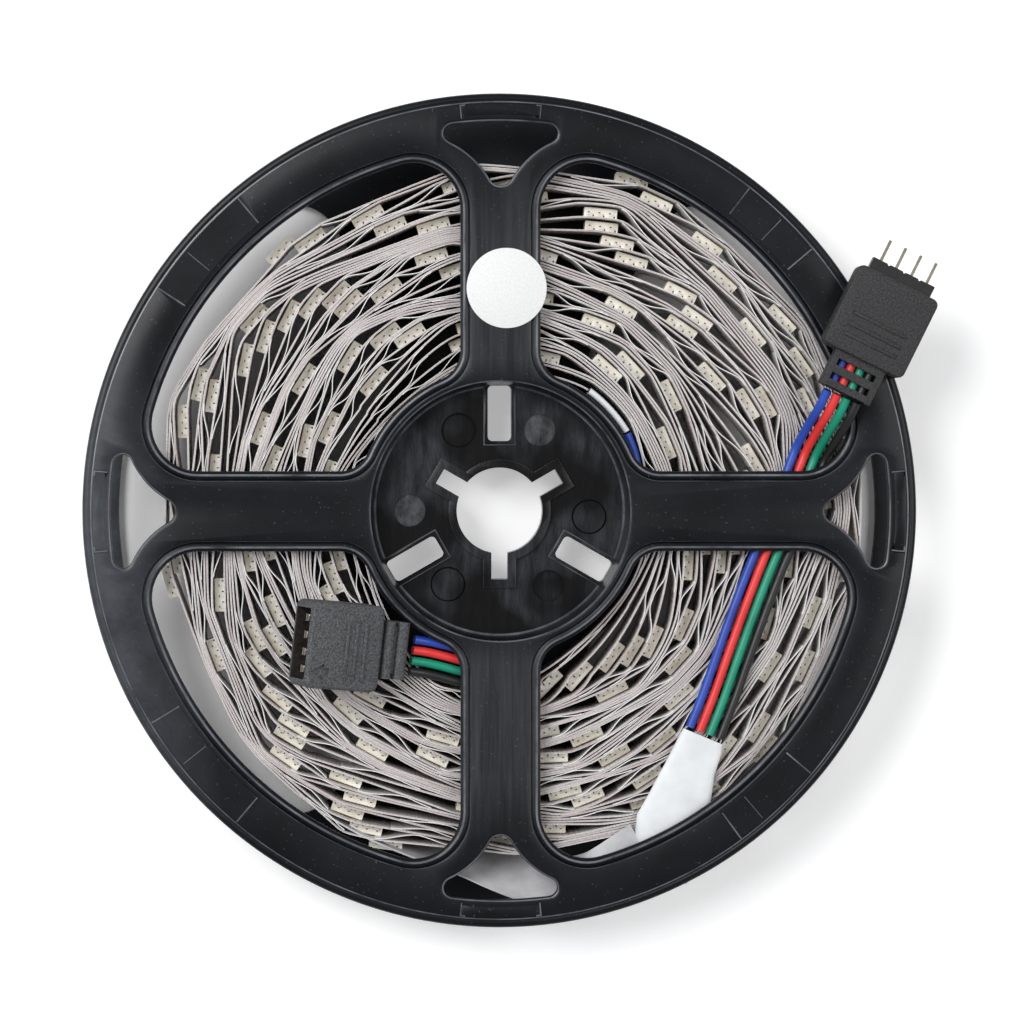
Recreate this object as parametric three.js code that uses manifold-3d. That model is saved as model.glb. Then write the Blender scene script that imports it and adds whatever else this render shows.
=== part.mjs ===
// A reel of LED strip light lying flat: a spool moulded in two halves, the wound strip with its LED
// packages as one spiral, a four-wire lead with a male plug at the strip's outer end, and a four-wire
// lead with a female socket at its inner end.
// Millimetres, +Z up. The origin is on the spool's axis at the resting face. Angles are in degrees,
// anticlockwise from +X as seen from above.

import * as THREE from 'three';
import { mergeVertices } from 'three/addons/utils/BufferGeometryUtils.js';
import Module from 'manifold-3d';

// Spool
const FLANGE_RADIUS = 62.5;
const FLANGE_THICKNESS = 1.6;
const DRUM_RADIUS = 20.2;
const WEB_THICKNESS = 1.5;
const DRUM_WALL_AT_WEB = 2.1;
const DRUM_WALL_AT_FACE = 0.8;
const BORE_RADIUS = 6.5;
const BORE_LIP_WIDTH = 1.2;
const BORE_LIP_RISE = 0.7;
const KEY_WIDTH = 2.5;
const KEY_REACH = 10.4;
const KEY_ANGLES = [30, 150, 270];
const SLOT_WIDTH = 3.6;
const SLOT_INNER = 10.5;
const SLOT_END_WALL = 1.3;
const SLOT_CORNER = 0.6;
const SLOT_ANGLES = [90, 210, 330];
const PEG_RADIUS = 2.4;
const PEG_CIRCLE = 13.6;
const PEG_CLEARANCE = 0.3;
const PEG_SHORTFALL = 0.2;
const PEG_SINK = 0.4;
const UPPER_PEG_ANGLES = [63.6, 180, 303];
const LOWER_PEG_ANGLES = [-4, 117, 235];

// Windows of the upper flange
const SPOKE_WIDTH = 12;
const RIM_WIDTH = 8.5;
const WINDOW_SETBACK = 1.5;
const WINDOW_OUTER_FILLET = 7.0;
const WINDOW_INNER_FILLET = 4.6;
const LIP_WIDTH = 1.45;
const LIP_STEP = 0.35;
const END_RIM_WIDTH = 4.2;
const END_WINDOW_SIDE_RADIUS = 13.25;
const END_WINDOW_SIDE_X = 13.1;
const END_WINDOW_SIDE_INSET = 19.4;
const END_WINDOW_TIP_FILLET = 1.8;
const END_WINDOW_CORNER_FILLET = 1.4;

// Windows of the lower flange
const LOWER_WINDOW_HALF_ANGLE = 60;
const LOWER_RIM_WIDTH = 4.5;
const LOWER_WINDOW_SETBACK = 4.3;
const LOWER_WINDOW_OUTER_FILLET = 8;
const LOWER_WINDOW_INNER_FILLET = 4;

// Strip and its winding
const STRIP_WIDTH = 10;
const STRIP_THICKNESS = 0.22;
const STRIP_FLOAT = 0.3;
const STRIP_LENGTH = 9000;
const TURN_CLEARANCE = 0.07;
const LOOSE_SIDE_CLEARANCE = 0.14;
const STATIONS_PER_TURN = 20;
const STRIP_START_ANGLE = 54;
const TAIL_LEAVES_ANGLE = 234;
const LED_PITCH = 55.56;
const LED_SIZE = 5;
const LED_HEIGHT = 1.4;
const LED_PHASE = 14;
const LED_DRIFT = 30;
const LED_DRIFT_DROP = 0.3;

// Sleeves over the joints between strip and wires
const INNER_SLEEVE_THICKNESS = 1.15;
const INNER_SLEEVE_FROM = 32;
const INNER_SLEEVE_HEIGHT = 10.5;
const INNER_SLEEVE_CLEARANCE = 1.75;
const OUTER_SLEEVE_THICKNESS = 1.4;

// Wires of both leads
const WIRE_DIAMETER = 1.35;
const WIRE_PITCH = 1.6;
const WIRE_SIDES = 8;
const WIRE_STEP = 3;
const WIRE_NAMES = ['blue', 'red', 'green', 'black'];
const INNER_LEAD_RISE = 2.3;
const HEADROOM = 2.0;
const GAP = 0.3;

// Male plug
const PLUG_LENGTH = 12.9;
const PLUG_WIDTH = 13.2;
const PLUG_THICKNESS = 5.6;
const PLUG_CORNER = 1.0;
const PLUG_X = 56.4;
const PLUG_Y = 28.3;
const PLUG_HEADING = 63.7;
const RELIEF_WIDTH = 8.2;
const RELIEF_THICKNESS = 3.8;
const RELIEF_LENGTH = 5.6;
const RELIEF_SLOT = 1.0;
const RELIEF_RAIL = 1.0;
const PIN_PITCH = 2.54;
const PIN_COUNT = 4;
const PIN_SIZE = 0.6;
const PIN_LENGTH = 3.4;
const HEADER_DEPTH = 1.5;

// Female socket
const SOCKET_LENGTH = 12.4;
const SOCKET_WIDTH = 12.9;
const SOCKET_THICKNESS = 5.6;
const SOCKET_HEADING = 173.7;
const SOCKET_TILT = 30;
const SOCKET_REAR_X = -18.4;
const SOCKET_REAR_Y = -21.1;
const SOCKET_REAR_Z = 16.75;
const MOUTH_WIDTH = 10.6;
const MOUTH_HEIGHT = 4.2;
const MOUTH_DEPTH = 6;
const CONTACT_SIZE = 1.1;
const CONTACT_LENGTH = 3;

// Round label
const LABEL_RADIUS = 6;
const LABEL_THICKNESS = 0.2;
const LABEL_X = 0.9;
const LABEL_Y = 33.4;

const CHORD_ERROR = 0.12;
const THROUGH = 1;

// Radii and heights that follow from the sizes above
const recessAtWeb = DRUM_RADIUS - DRUM_WALL_AT_WEB;
const recessAtFace = DRUM_RADIUS - DRUM_WALL_AT_FACE;
const slotOuter = DRUM_RADIUS - SLOT_END_WALL;
const windowInner = DRUM_RADIUS + WINDOW_SETBACK;
const windowOuter = FLANGE_RADIUS - RIM_WIDTH;
const endWindowOuter = FLANGE_RADIUS - END_RIM_WIDTH;
const endWindowSideY = FLANGE_RADIUS - END_WINDOW_SIDE_INSET;
const lowerWindowInner = DRUM_RADIUS + LOWER_WINDOW_SETBACK;
const lowerWindowOuter = FLANGE_RADIUS - LOWER_RIM_WIDTH;
const innerSleeveRadius = DRUM_RADIUS + INNER_SLEEVE_CLEARANCE;
const stripBottom = FLANGE_THICKNESS + STRIP_FLOAT;
const stripTop = stripBottom + STRIP_WIDTH;
const stripMiddle = (stripBottom + stripTop) / 2;
const upperFlangeBottom = stripTop + HEADROOM;
const reelHeight = upperFlangeBottom + FLANGE_THICKNESS;
const halfHeight = reelHeight / 2;
const wireLevel = stripTop + GAP + WIRE_DIAMETER / 2 + 0.02;
const innerLeadLevel = stripMiddle + INNER_LEAD_RISE;
const plugLevel = reelHeight + GAP + PLUG_THICKNESS / 2;

const wasm = await Module();
wasm.setup();

const radians = THREE.MathUtils.degToRad;
const degrees = THREE.MathUtils.radToDeg;

function onCircle(angle, radius, x = 0, y = 0) {
  const turn = radians(angle);
  return new THREE.Vector2(x + radius * Math.cos(turn), y + radius * Math.sin(turn));
}

// Points of an arc about (x, y), with chords that leave it by CHORD_ERROR at most
function arc(x, y, radius, from, to) {
  const widest = 2 * degrees(Math.acos(1 - Math.min(0.5, CHORD_ERROR / radius)));
  const steps = Math.max(2, Math.ceil(Math.abs(to - from) / widest));
  const points = [];
  for (let i = 0; i <= steps; i += 1) {
    points.push(onCircle(from + ((to - from) * i) / steps, radius, x, y));
  }
  return points;
}

function circle(x, y, radius) {
  return arc(x, y, radius, 0, 360).slice(0, -1);
}

function rectangle(x0, y0, x1, y1) {
  return [[x0, y0], [x1, y0], [x1, y1], [x0, y1]].map(([x, y]) => new THREE.Vector2(x, y));
}

function roundedRectangle(x0, y0, x1, y1, fillet) {
  return [
    ...arc(x1 - fillet, y0 + fillet, fillet, -90, 0),
    ...arc(x1 - fillet, y1 - fillet, fillet, 0, 90),
    ...arc(x0 + fillet, y1 - fillet, fillet, 90, 180),
    ...arc(x0 + fillet, y0 + fillet, fillet, 180, 270),
  ];
}

function turned(points, angle) {
  const pivot = new THREE.Vector2(0, 0);
  return points.map((point) => point.clone().rotateAround(pivot, radians(angle)));
}

// The point at distance a from the origin and b from (x, y), on the side towards the +Y axis
function meeting(a, x, y, b) {
  const between = Math.hypot(x, y);
  const along = (a * a - b * b + between * between) / (2 * between);
  const across = Math.sqrt(a * a - along * along);
  return new THREE.Vector2((x * along - y * across) / between, (y * along + x * across) / between);
}

function prism(points, z0, z1) {
  const shape = new THREE.Shape(points);
  const geometry = new THREE.ExtrudeGeometry(shape, { depth: z1 - z0, bevelEnabled: false });
  return geometry.translate(0, 0, z0);
}

function solidOf(geometry) {
  const bare = geometry.clone();
  bare.deleteAttribute('normal');
  bare.deleteAttribute('uv');
  const merged = mergeVertices(bare, 1e-4);
  const mesh = new wasm.Mesh({
    numProp: 3,
    vertProperties: merged.attributes.position.array,
    triVerts: merged.index.array,
  });
  return new wasm.Manifold(mesh);
}

function geometryOf(solid) {
  const mesh = solid.getMesh();
  const geometry = new THREE.BufferGeometry();
  geometry.setAttribute('position', new THREE.BufferAttribute(mesh.vertProperties, 3));
  geometry.setIndex(new THREE.BufferAttribute(mesh.triVerts, 1));
  geometry.computeVertexNormals();
  return geometry;
}

function block(points, z0, z1) {
  return solidOf(prism(points, z0, z1));
}

function joined(solids) {
  return solids.reduce((whole, solid) => whole.add(solid));
}

// Outline of a window between two spokes, in the quarter between +X and +Y
function quarterWindow(grow) {
  const side = SPOKE_WIDTH / 2 - grow;
  const outer = windowOuter + grow;
  const inner = windowInner - grow;
  const outerFillet = WINDOW_OUTER_FILLET + grow;
  const innerFillet = WINDOW_INNER_FILLET + grow;
  const outerNear = side + outerFillet;
  const outerFar = Math.sqrt((outer - outerFillet) ** 2 - outerNear ** 2);
  const innerNear = side + innerFillet;
  const innerFar = Math.sqrt((inner + innerFillet) ** 2 - innerNear ** 2);
  const outerAngle = degrees(Math.atan2(outerNear, outerFar));
  const innerAngle = degrees(Math.atan2(innerNear, innerFar));
  return [
    ...arc(outerFar, outerNear, outerFillet, -90, outerAngle),
    ...arc(0, 0, outer, outerAngle, 90 - outerAngle).slice(1, -1),
    ...arc(outerNear, outerFar, outerFillet, 90 - outerAngle, 180),
    ...arc(innerNear, innerFar, innerFillet, 180, 270 - innerAngle),
    ...arc(0, 0, inner, 90 - innerAngle, innerAngle).slice(1, -1),
    ...arc(innerFar, innerNear, innerFillet, 180 + innerAngle, 270),
  ];
}

// Outline of the three-sided window at the outer end of the +Y spoke
function endWindow() {
  const corner = meeting(
    endWindowOuter - END_WINDOW_CORNER_FILLET,
    END_WINDOW_SIDE_X,
    endWindowSideY,
    END_WINDOW_SIDE_RADIUS + END_WINDOW_CORNER_FILLET,
  );
  const tipReach = END_WINDOW_SIDE_RADIUS + END_WINDOW_TIP_FILLET;
  const tipY = endWindowSideY + Math.sqrt(tipReach ** 2 - END_WINDOW_SIDE_X ** 2);
  const towards = (x, y) => degrees(Math.atan2(y, x));
  const outerAngle = towards(corner.x, corner.y);
  const sideAtCorner = towards(corner.x - END_WINDOW_SIDE_X, corner.y - endWindowSideY);
  const sideAtTip = towards(-END_WINDOW_SIDE_X, tipY - endWindowSideY);
  const right = [
    ...arc(0, tipY, END_WINDOW_TIP_FILLET, -90, sideAtTip - 180),
    ...arc(END_WINDOW_SIDE_X, endWindowSideY, END_WINDOW_SIDE_RADIUS, sideAtTip, sideAtCorner)
      .slice(1, -1),
    ...arc(corner.x, corner.y, END_WINDOW_CORNER_FILLET, sideAtCorner - 180, outerAngle),
    ...arc(0, 0, endWindowOuter, outerAngle, 90).slice(1),
  ];
  const left = right.slice(1, -1).map((point) => new THREE.Vector2(-point.x, point.y));
  return [...right, ...left.reverse()];
}

// Outline of a lower flange window, centred on +X
function lowerWindow() {
  const half = LOWER_WINDOW_HALF_ANGLE;
  const outerReach = lowerWindowOuter - LOWER_WINDOW_OUTER_FILLET;
  const innerReach = lowerWindowInner + LOWER_WINDOW_INNER_FILLET;
  const outerAngle = half - degrees(Math.asin(LOWER_WINDOW_OUTER_FILLET / outerReach));
  const innerAngle = half - degrees(Math.asin(LOWER_WINDOW_INNER_FILLET / innerReach));
  const outerCorner = onCircle(outerAngle, outerReach);
  const innerCorner = onCircle(innerAngle, innerReach);
  return [
    ...arc(0, 0, lowerWindowOuter, -outerAngle, outerAngle).slice(1, -1),
    ...arc(outerCorner.x, outerCorner.y, LOWER_WINDOW_OUTER_FILLET, outerAngle, half + 90),
    ...arc(innerCorner.x, innerCorner.y, LOWER_WINDOW_INNER_FILLET, half + 90, innerAngle + 180),
    ...arc(0, 0, lowerWindowInner, innerAngle, -innerAngle).slice(1, -1),
    ...arc(innerCorner.x, -innerCorner.y, LOWER_WINDOW_INNER_FILLET, 180 - innerAngle, 270 - half),
    ...arc(outerCorner.x, -outerCorner.y, LOWER_WINDOW_OUTER_FILLET, -half - 90, -outerAngle),
  ];
}

// Bore with its three key notches, widened all round by grow
function keyedBore(grow, z0, z1) {
  const key = rectangle(0, -KEY_WIDTH / 2 - grow, KEY_REACH + grow, KEY_WIDTH / 2 + grow);
  const notches = KEY_ANGLES.map((angle) => block(turned(key, angle), z0, z1));
  return joined([block(circle(0, 0, BORE_RADIUS + grow), z0, z1), ...notches]);
}

function pegs(angles, radius, z0, z1) {
  return joined(angles.map((angle) => {
    const centre = onCircle(angle, PEG_CIRCLE);
    return block(circle(centre.x, centre.y, radius), z0, z1);
  }));
}

// One half of the spool without its flange's windows. Its parting face is at z = 0 and its flange's
// outer face at z = halfHeight. It has its own pegs and sockets for those of the other half.
function plainHalf(ownPegs, otherPegs) {
  const flangeInside = halfHeight - FLANGE_THICKNESS;
  const profile = [
    [0, 0],
    [DRUM_RADIUS, 0],
    [DRUM_RADIUS, flangeInside],
    [FLANGE_RADIUS, flangeInside],
    [FLANGE_RADIUS, halfHeight],
    [recessAtFace, halfHeight],
    [recessAtWeb, WEB_THICKNESS],
    [0, WEB_THICKNESS],
  ].map(([radius, z]) => new THREE.Vector2(radius, z));
  const sides = 4 * Math.ceil(45 / degrees(Math.acos(1 - CHORD_ERROR / FLANGE_RADIUS)));
  const body = solidOf(new THREE.LatheGeometry(profile, sides).rotateX(Math.PI / 2));
  const lip = keyedBore(BORE_LIP_WIDTH, WEB_THICKNESS / 2, WEB_THICKNESS + BORE_LIP_RISE);
  const bore = keyedBore(0, -THROUGH, halfHeight);
  const slotHalf = SLOT_WIDTH / 2;
  const slot = roundedRectangle(SLOT_INNER, -slotHalf, slotOuter, slotHalf, SLOT_CORNER);
  const slots = joined(SLOT_ANGLES.map((angle) => {
    return block(turned(slot, angle), -THROUGH, halfHeight);
  }));
  const pegEnd = PEG_SHORTFALL - WEB_THICKNESS;
  const sockets = pegs(otherPegs, PEG_RADIUS + PEG_CLEARANCE, -THROUGH, WEB_THICKNESS + THROUGH);
  const sinks = pegs(ownPegs, PEG_RADIUS, WEB_THICKNESS - PEG_SINK, WEB_THICKNESS + THROUGH);
  return body.add(lip).subtract(joined([bore, slots, sockets, sinks]))
    .add(pegs(ownPegs, PEG_RADIUS, pegEnd, WEB_THICKNESS / 2));
}

function upperHalf() {
  const quarters = [0, 90, 180, 270];
  const flangeInside = halfHeight - FLANGE_THICKNESS;
  const windows = quarters.flatMap((angle) => [
    block(turned(quarterWindow(0), angle), flangeInside - THROUGH, halfHeight + THROUGH),
    block(turned(quarterWindow(LIP_WIDTH), angle), halfHeight - LIP_STEP, halfHeight + THROUGH),
    block(turned(endWindow(), angle), flangeInside - THROUGH, halfHeight + THROUGH),
  ]);
  return plainHalf(UPPER_PEG_ANGLES, LOWER_PEG_ANGLES)
    .subtract(joined(windows))
    .translate([0, 0, halfHeight]);
}

function lowerHalf() {
  const flangeInside = halfHeight - FLANGE_THICKNESS;
  const windows = [0, 180].map((angle) => {
    return block(turned(lowerWindow(), angle), flangeInside - THROUGH, halfHeight + THROUGH);
  });
  return plainHalf(LOWER_PEG_ANGLES, UPPER_PEG_ANGLES)
    .subtract(joined(windows))
    .mirror([0, 0, 1])
    .translate([0, 0, halfHeight]);
}

// Radius that the winding's first turns keep to, so that the inner lead and its sleeve have room
function windingBase(angle) {
  const sleeveRoom = innerSleeveRadius + INNER_SLEEVE_THICKNESS + GAP * 2;
  const leadRoom = DRUM_RADIUS + WIRE_DIAMETER + GAP * 2 + 0.2;
  const marks = [
    [0, leadRoom],
    [18, leadRoom],
    [36, sleeveRoom],
    [54, sleeveRoom],
    [72, DRUM_RADIUS + 1],
    [90, DRUM_RADIUS + 0.5],
    [216, DRUM_RADIUS + 0.5],
    [252, DRUM_RADIUS + 7.6],
    [270, DRUM_RADIUS + 7.2],
    [288, DRUM_RADIUS + 2.7],
    [306, leadRoom],
    [360, leadRoom],
  ];
  const after = marks.findIndex(([mark]) => mark > angle);
  const [fromAngle, fromRadius] = marks[after - 1];
  const [toAngle, toRadius] = marks[after];
  return fromRadius + ((toRadius - fromRadius) * (angle - fromAngle)) / (toAngle - fromAngle);
}

// Stations of the wound strip, from its inner end anticlockwise and outwards, and the LEDs on it.
// Every turn passes the same angles and lies on the pile of the turns below it. It bridges a hollow
// as a taut band does, and each LED lifts the turn over it. An LED may sit up to LED_DRIFT further
// along than its pitch says, where it finds a lower place.
function windStrip() {
  const turnStep = 360 / STATIONS_PER_TURN;
  const slack = Math.cos(radians(turnStep));
  const pile = [];
  for (let slot = 0; slot < STATIONS_PER_TURN; slot += 1) {
    pile.push(windingBase(slot * turnStep));
  }
  const start = innerSleeveRadius + INNER_SLEEVE_THICKNESS / 2;
  const stations = [];
  const leds = [];
  let travelled = 0;
  let nextLed = LED_PHASE;
  let step = Math.round(STRIP_START_ANGLE / turnStep);
  for (;;) {
    const slot = step % STATIONS_PER_TURN;
    const ahead = (slot + 1) % STATIONS_PER_TURN;
    const angle = slot * turnStep;
    const loose = (LOOSE_SIDE_CLEARANCE * (1 + Math.cos(radians(angle)))) / 2;
    const previous = stations[stations.length - 1];
    const seat = pile[slot] + TURN_CLEARANCE + loose + STRIP_THICKNESS / 2;
    const last = previous ? previous.radius : start;
    const bridge = (2 * last * pile[ahead] * slack) / (last + pile[ahead]);
    const radius = previous ? Math.max(seat, bridge) : start;
    const point = onCircle(angle, radius);
    const stepLength = previous ? point.distanceTo(previous.point) : 0;
    travelled += stepLength;
    stations.push({ angle, radius, point });
    pile[slot] = Math.max(pile[slot], radius + STRIP_THICKNESS / 2);
    const late = travelled - nextLed;
    if (previous && late >= 0 && (late > LED_DRIFT || pile[slot] <= pile[ahead] - LED_DRIFT_DROP)) {
      leds.push(stations.length - 1);
      pile[slot] += LED_HEIGHT / (1 - LED_SIZE / 2 / stepLength) + TURN_CLEARANCE;
      nextLed += LED_PITCH;
    }
    if (travelled > STRIP_LENGTH && angle === TAIL_LEAVES_ANGLE) break;
    step += 1;
  }
  return { stations, leds: leds.filter((index) => index < stations.length - 1) };
}

// The free end beyond the winding: it swings outwards, twists until it lies flat above the winding
// and ends at the outer sleeve
const tailRoute = [
  { angle: 246, radius: 53.6, z: stripMiddle, twist: 3 },
  { angle: 256, radius: 54.7, z: stripMiddle + 0.2, twist: 14 },
  { angle: 264, radius: 55.9, z: stripMiddle + 0.8, twist: 28 },
  { angle: 271, radius: 56.6, z: stripMiddle + 2.0, twist: 44 },
  { angle: 277, radius: 57.3, z: stripMiddle + 3.5, twist: 58 },
  { angle: 283, radius: 57.2, z: stripMiddle + 5.0, twist: 75 },
  { angle: 287.5, radius: 56.7, z: stripMiddle + 5.9, twist: 88 },
  { angle: 291.4, radius: 56.3, z: stripMiddle + 6.05, twist: 90 },
];

// A flat band through stations, each with its outward direction, width direction and centre
function band(stations) {
  const positions = [];
  for (const { centre, across, outward } of stations) {
    for (const [side, face] of [[-1, -1], [1, -1], [1, 1], [-1, 1]]) {
      const corner = centre.clone()
        .addScaledVector(across, (side * STRIP_WIDTH) / 2)
        .addScaledVector(outward, (face * STRIP_THICKNESS) / 2);
      positions.push(...corner.toArray());
    }
  }
  const triangles = [0, 2, 1, 0, 3, 2];
  for (let i = 0; i < stations.length - 1; i += 1) {
    for (let k = 0; k < 4; k += 1) {
      const a = 4 * i + k;
      const b = 4 * i + ((k + 1) % 4);
      triangles.push(a, b, a + 4, b, b + 4, a + 4);
    }
  }
  const end = 4 * (stations.length - 1);
  triangles.push(end, end + 1, end + 2, end, end + 2, end + 3);
  const geometry = new THREE.BufferGeometry();
  geometry.setAttribute('position', new THREE.Float32BufferAttribute(positions, 3));
  geometry.setIndex(triangles);
  return geometry;
}

function bandStation(angle, radius, z, twist) {
  const point = onCircle(angle, radius);
  const radial = new THREE.Vector3(Math.cos(radians(angle)), Math.sin(radians(angle)), 0);
  const up = new THREE.Vector3(0, 0, 1);
  const lean = radians(twist);
  const across = up.clone().multiplyScalar(Math.cos(lean)).addScaledVector(radial, Math.sin(lean));
  const outward = radial.multiplyScalar(Math.cos(lean)).addScaledVector(up, -Math.sin(lean));
  return { centre: new THREE.Vector3(point.x, point.y, z), across, outward };
}

// An LED package on the outer side of the strip, astride the station at its middle
function ledPackage(stations, index) {
  const { angle, point } = stations[index];
  const outward = onCircle(angle, STRIP_THICKNESS / 2 + LED_HEIGHT);
  const reach = (other) => {
    const share = LED_SIZE / 2 / point.distanceTo(other.point);
    return point.clone().lerp(other.point, share);
  };
  const before = reach(stations[index - 1]);
  const after = reach(stations[index + 1]);
  const outline = [point, before, before.clone().add(outward), after.clone().add(outward), after];
  return block(outline, stripMiddle - LED_SIZE / 2, stripMiddle + LED_SIZE / 2);
}

function ledStrip() {
  const { stations, leds } = windStrip();
  const wound = stations.map(({ angle, radius }) => bandStation(angle, radius, stripMiddle, 0));
  const tail = tailRoute.map(({ angle, radius, z, twist }) => bandStation(angle, radius, z, twist));
  const strip = solidOf(band([...wound, ...tail]));
  return joined([strip, wasm.Manifold.union(leds.map((index) => ledPackage(stations, index)))]);
}

// Sleeve over the inner joint, curved with the drum
function innerSleeve() {
  const inner = innerSleeveRadius;
  const middle = inner + INNER_SLEEVE_THICKNESS / 2;
  const to = STRIP_START_ANGLE - degrees(GAP / middle);
  const outline = [
    ...arc(0, 0, inner, INNER_SLEEVE_FROM, to),
    ...arc(0, 0, inner + INNER_SLEEVE_THICKNESS, to, INNER_SLEEVE_FROM),
  ];
  return prism(outline, stripBottom, stripBottom + INNER_SLEEVE_HEIGHT);
}

// Sleeve over the outer joint, flattened between the winding and the flange
function outerSleeve() {
  const outline = [
    [27.6, -32.9],
    [33.6, -35.4],
    [31.9, -43.6],
    [30.6, -49.3],
    [27.6, -54.2],
    [23.4, -56.9],
    [19.6, -47.4],
    [21.9, -43.6],
  ].map(([x, y]) => new THREE.Vector2(x, y));
  const bottom = stripTop + GAP;
  return prism(outline, bottom, bottom + OUTER_SLEEVE_THICKNESS);
}

// Middle line of each lead as x, y, z and the twist of its row of wires in degrees: 0 stands the
// row upright with the blue wire on top, and 90 lays it flat with the blue wire on the right. A
// point on the drum is given by its angle and by how far it stands off the drum.
function onDrum(angle, rise, z, twist) {
  const point = onCircle(angle, DRUM_RADIUS + rise);
  return [point.x, point.y, z, twist];
}

const outerLead = [
  [50.9, 17.2, plugLevel, 90],
  [49.9, 14.9, plugLevel - 0.8, 90],
  [48.2, 11.6, plugLevel - 3.4, 90],
  [46.8, 8.6, wireLevel + 0.1, 90],
  [45.8, 6.0, wireLevel, 90],
  [44.3, 1.6, wireLevel, 90],
  [42.3, -3.2, wireLevel, 90],
  [39.9, -9.0, wireLevel, 90],
  [37.6, -15.0, wireLevel, 90],
  [35.3, -21.4, wireLevel, 90],
  [33.0, -28.0, wireLevel, 90],
  [30.85, -33.5, wireLevel, 90],
];

const innerLead = [
  onDrum(INNER_SLEEVE_FROM - 0.8, 2.2, innerLeadLevel, 0),
  onDrum(22, 1.8, innerLeadLevel, 0),
  onDrum(10, 1.2, innerLeadLevel, 0),
  onDrum(-6, 1.0, innerLeadLevel, 0),
  onDrum(-24, 1.0, innerLeadLevel, 0),
  onDrum(-42, 1.0, innerLeadLevel, 0),
  onDrum(-60, 1.0, innerLeadLevel, 0),
  onDrum(-74, 1.2, innerLeadLevel, 0),
  onDrum(-81, 1.8, innerLeadLevel + 0.4, 15),
  onDrum(-85, 2.5, innerLeadLevel + 1.2, 32),
  onDrum(-89, 3.1, innerLeadLevel + 2.1, 50),
  onDrum(-93, 3.6, innerLeadLevel + 2.85, 68),
  onDrum(-97, 3.9, innerLeadLevel + 3.4, 83),
  [-5.6, -23.4, wireLevel, 90],
  [-8.6, -22.6, wireLevel, 90],
  [-11.2, -22.0, wireLevel + 0.15, 90],
  [-13.3, -21.66, wireLevel + 0.85, 90],
];

// Tubes of the four wires that lie side by side along a lead's middle line
function wires(route, end) {
  const centres = route.map(([x, y, z]) => new THREE.Vector3(x, y, z));
  const up = new THREE.Vector3(0, 0, 1);
  const section = new THREE.Shape(wireSection());
  return WIRE_NAMES.map((colour, row) => {
    const points = centres.map((centre, i) => {
      const before = centres[Math.max(0, i - 1)];
      const after = centres[Math.min(centres.length - 1, i + 1)];
      const heading = after.clone().sub(before).normalize();
      const left = up.clone().cross(heading).normalize();
      const lean = radians(route[i][3]);
      const away = left.multiplyScalar(Math.sin(lean)).addScaledVector(up, -Math.cos(lean));
      return centre.clone().addScaledVector(away, (row - 1.5) * WIRE_PITCH);
    });
    const path = new THREE.CatmullRomCurve3(points, false, 'centripetal');
    const steps = Math.ceil(path.getLength() / WIRE_STEP);
    const geometry = new THREE.ExtrudeGeometry(section, { steps, extrudePath: path });
    return part(`${end}_wire_${colour}`, geometry, wireMaterials[row]);
  });
}

function wireSection() {
  const points = [];
  for (let i = 0; i < WIRE_SIDES; i += 1) {
    points.push(onCircle((360 * i) / WIRE_SIDES, WIRE_DIAMETER / 2));
  }
  return points;
}

// Materials
function finish(color, roughness, metalness = 0) {
  return new THREE.MeshStandardMaterial({ color, roughness, metalness });
}

const spoolBlack = finish(0x21242a, 0.45);
const stripSilver = finish(0xaaa29e, 0.5, 0.2);
const sleeveWhite = finish(0xf0f2f2, 0.55);
const wireMaterials = [0x28379b, 0xe12d2d, 0x008c6e, 0x191919].map((color) => finish(color, 0.5));
const plugCharcoal = finish(0x323232, 0.7);
const socketCharcoal = finish(0x464648, 0.7);
const headerBlack = finish(0x101010, 0.4);
const contactMetal = finish(0xc8bfa4, 0.3, 0.9);
const labelWhite = finish(0xf2f4f4, 0.6);

function part(name, geometry, material) {
  const mesh = new THREE.Mesh(geometry, material);
  mesh.name = name;
  return mesh;
}

// Strain relief behind a connector, with slots across it that leave a rail at each side
function relief(frontX, middleZ) {
  const rear = frontX - RELIEF_LENGTH;
  const half = RELIEF_WIDTH / 2;
  const z0 = middleZ - RELIEF_THICKNESS / 2;
  const z1 = middleZ + RELIEF_THICKNESS / 2;
  const whole = block(rectangle(rear, -half, frontX + 0.5, half), z0, z1);
  const slots = [0.3, 0.7].map((share) => {
    const x = rear + RELIEF_LENGTH * share - RELIEF_SLOT / 2;
    const outline = rectangle(x, RELIEF_RAIL - half, x + RELIEF_SLOT, half - RELIEF_RAIL);
    return block(outline, middleZ, z1 + THROUGH);
  });
  return whole.subtract(joined(slots));
}

function malePlug() {
  const front = PLUG_LENGTH / 2;
  const half = PLUG_WIDTH / 2;
  const outline = roundedRectangle(-front, -half, front, half, PLUG_CORNER);
  const middle = PLUG_THICKNESS / 2;
  const body = block(outline, 0, PLUG_THICKNESS).add(relief(-front, middle));
  const group = new THREE.Group();
  group.add(part('plug_body', geometryOf(body), plugCharcoal));
  const headerX = front + GAP;
  const rowWidth = PIN_PITCH * PIN_COUNT;
  const header = rectangle(headerX, -rowWidth / 2, headerX + HEADER_DEPTH, rowWidth / 2);
  const headerBody = prism(header, middle - PIN_PITCH / 2, middle + PIN_PITCH / 2);
  group.add(part('plug_header', headerBody, headerBlack));
  const pinX = headerX + HEADER_DEPTH + GAP;
  for (let i = 0; i < PIN_COUNT; i += 1) {
    const y = (i - (PIN_COUNT - 1) / 2) * PIN_PITCH;
    const pin = new THREE.BoxGeometry(PIN_LENGTH, PIN_SIZE, PIN_SIZE);
    pin.translate(pinX + PIN_LENGTH / 2, y, middle);
    group.add(part(`plug_pin_${i + 1}`, pin, contactMetal));
  }
  group.position.set(PLUG_X, PLUG_Y, reelHeight + GAP);
  group.rotation.z = radians(PLUG_HEADING);
  return group;
}

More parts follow.
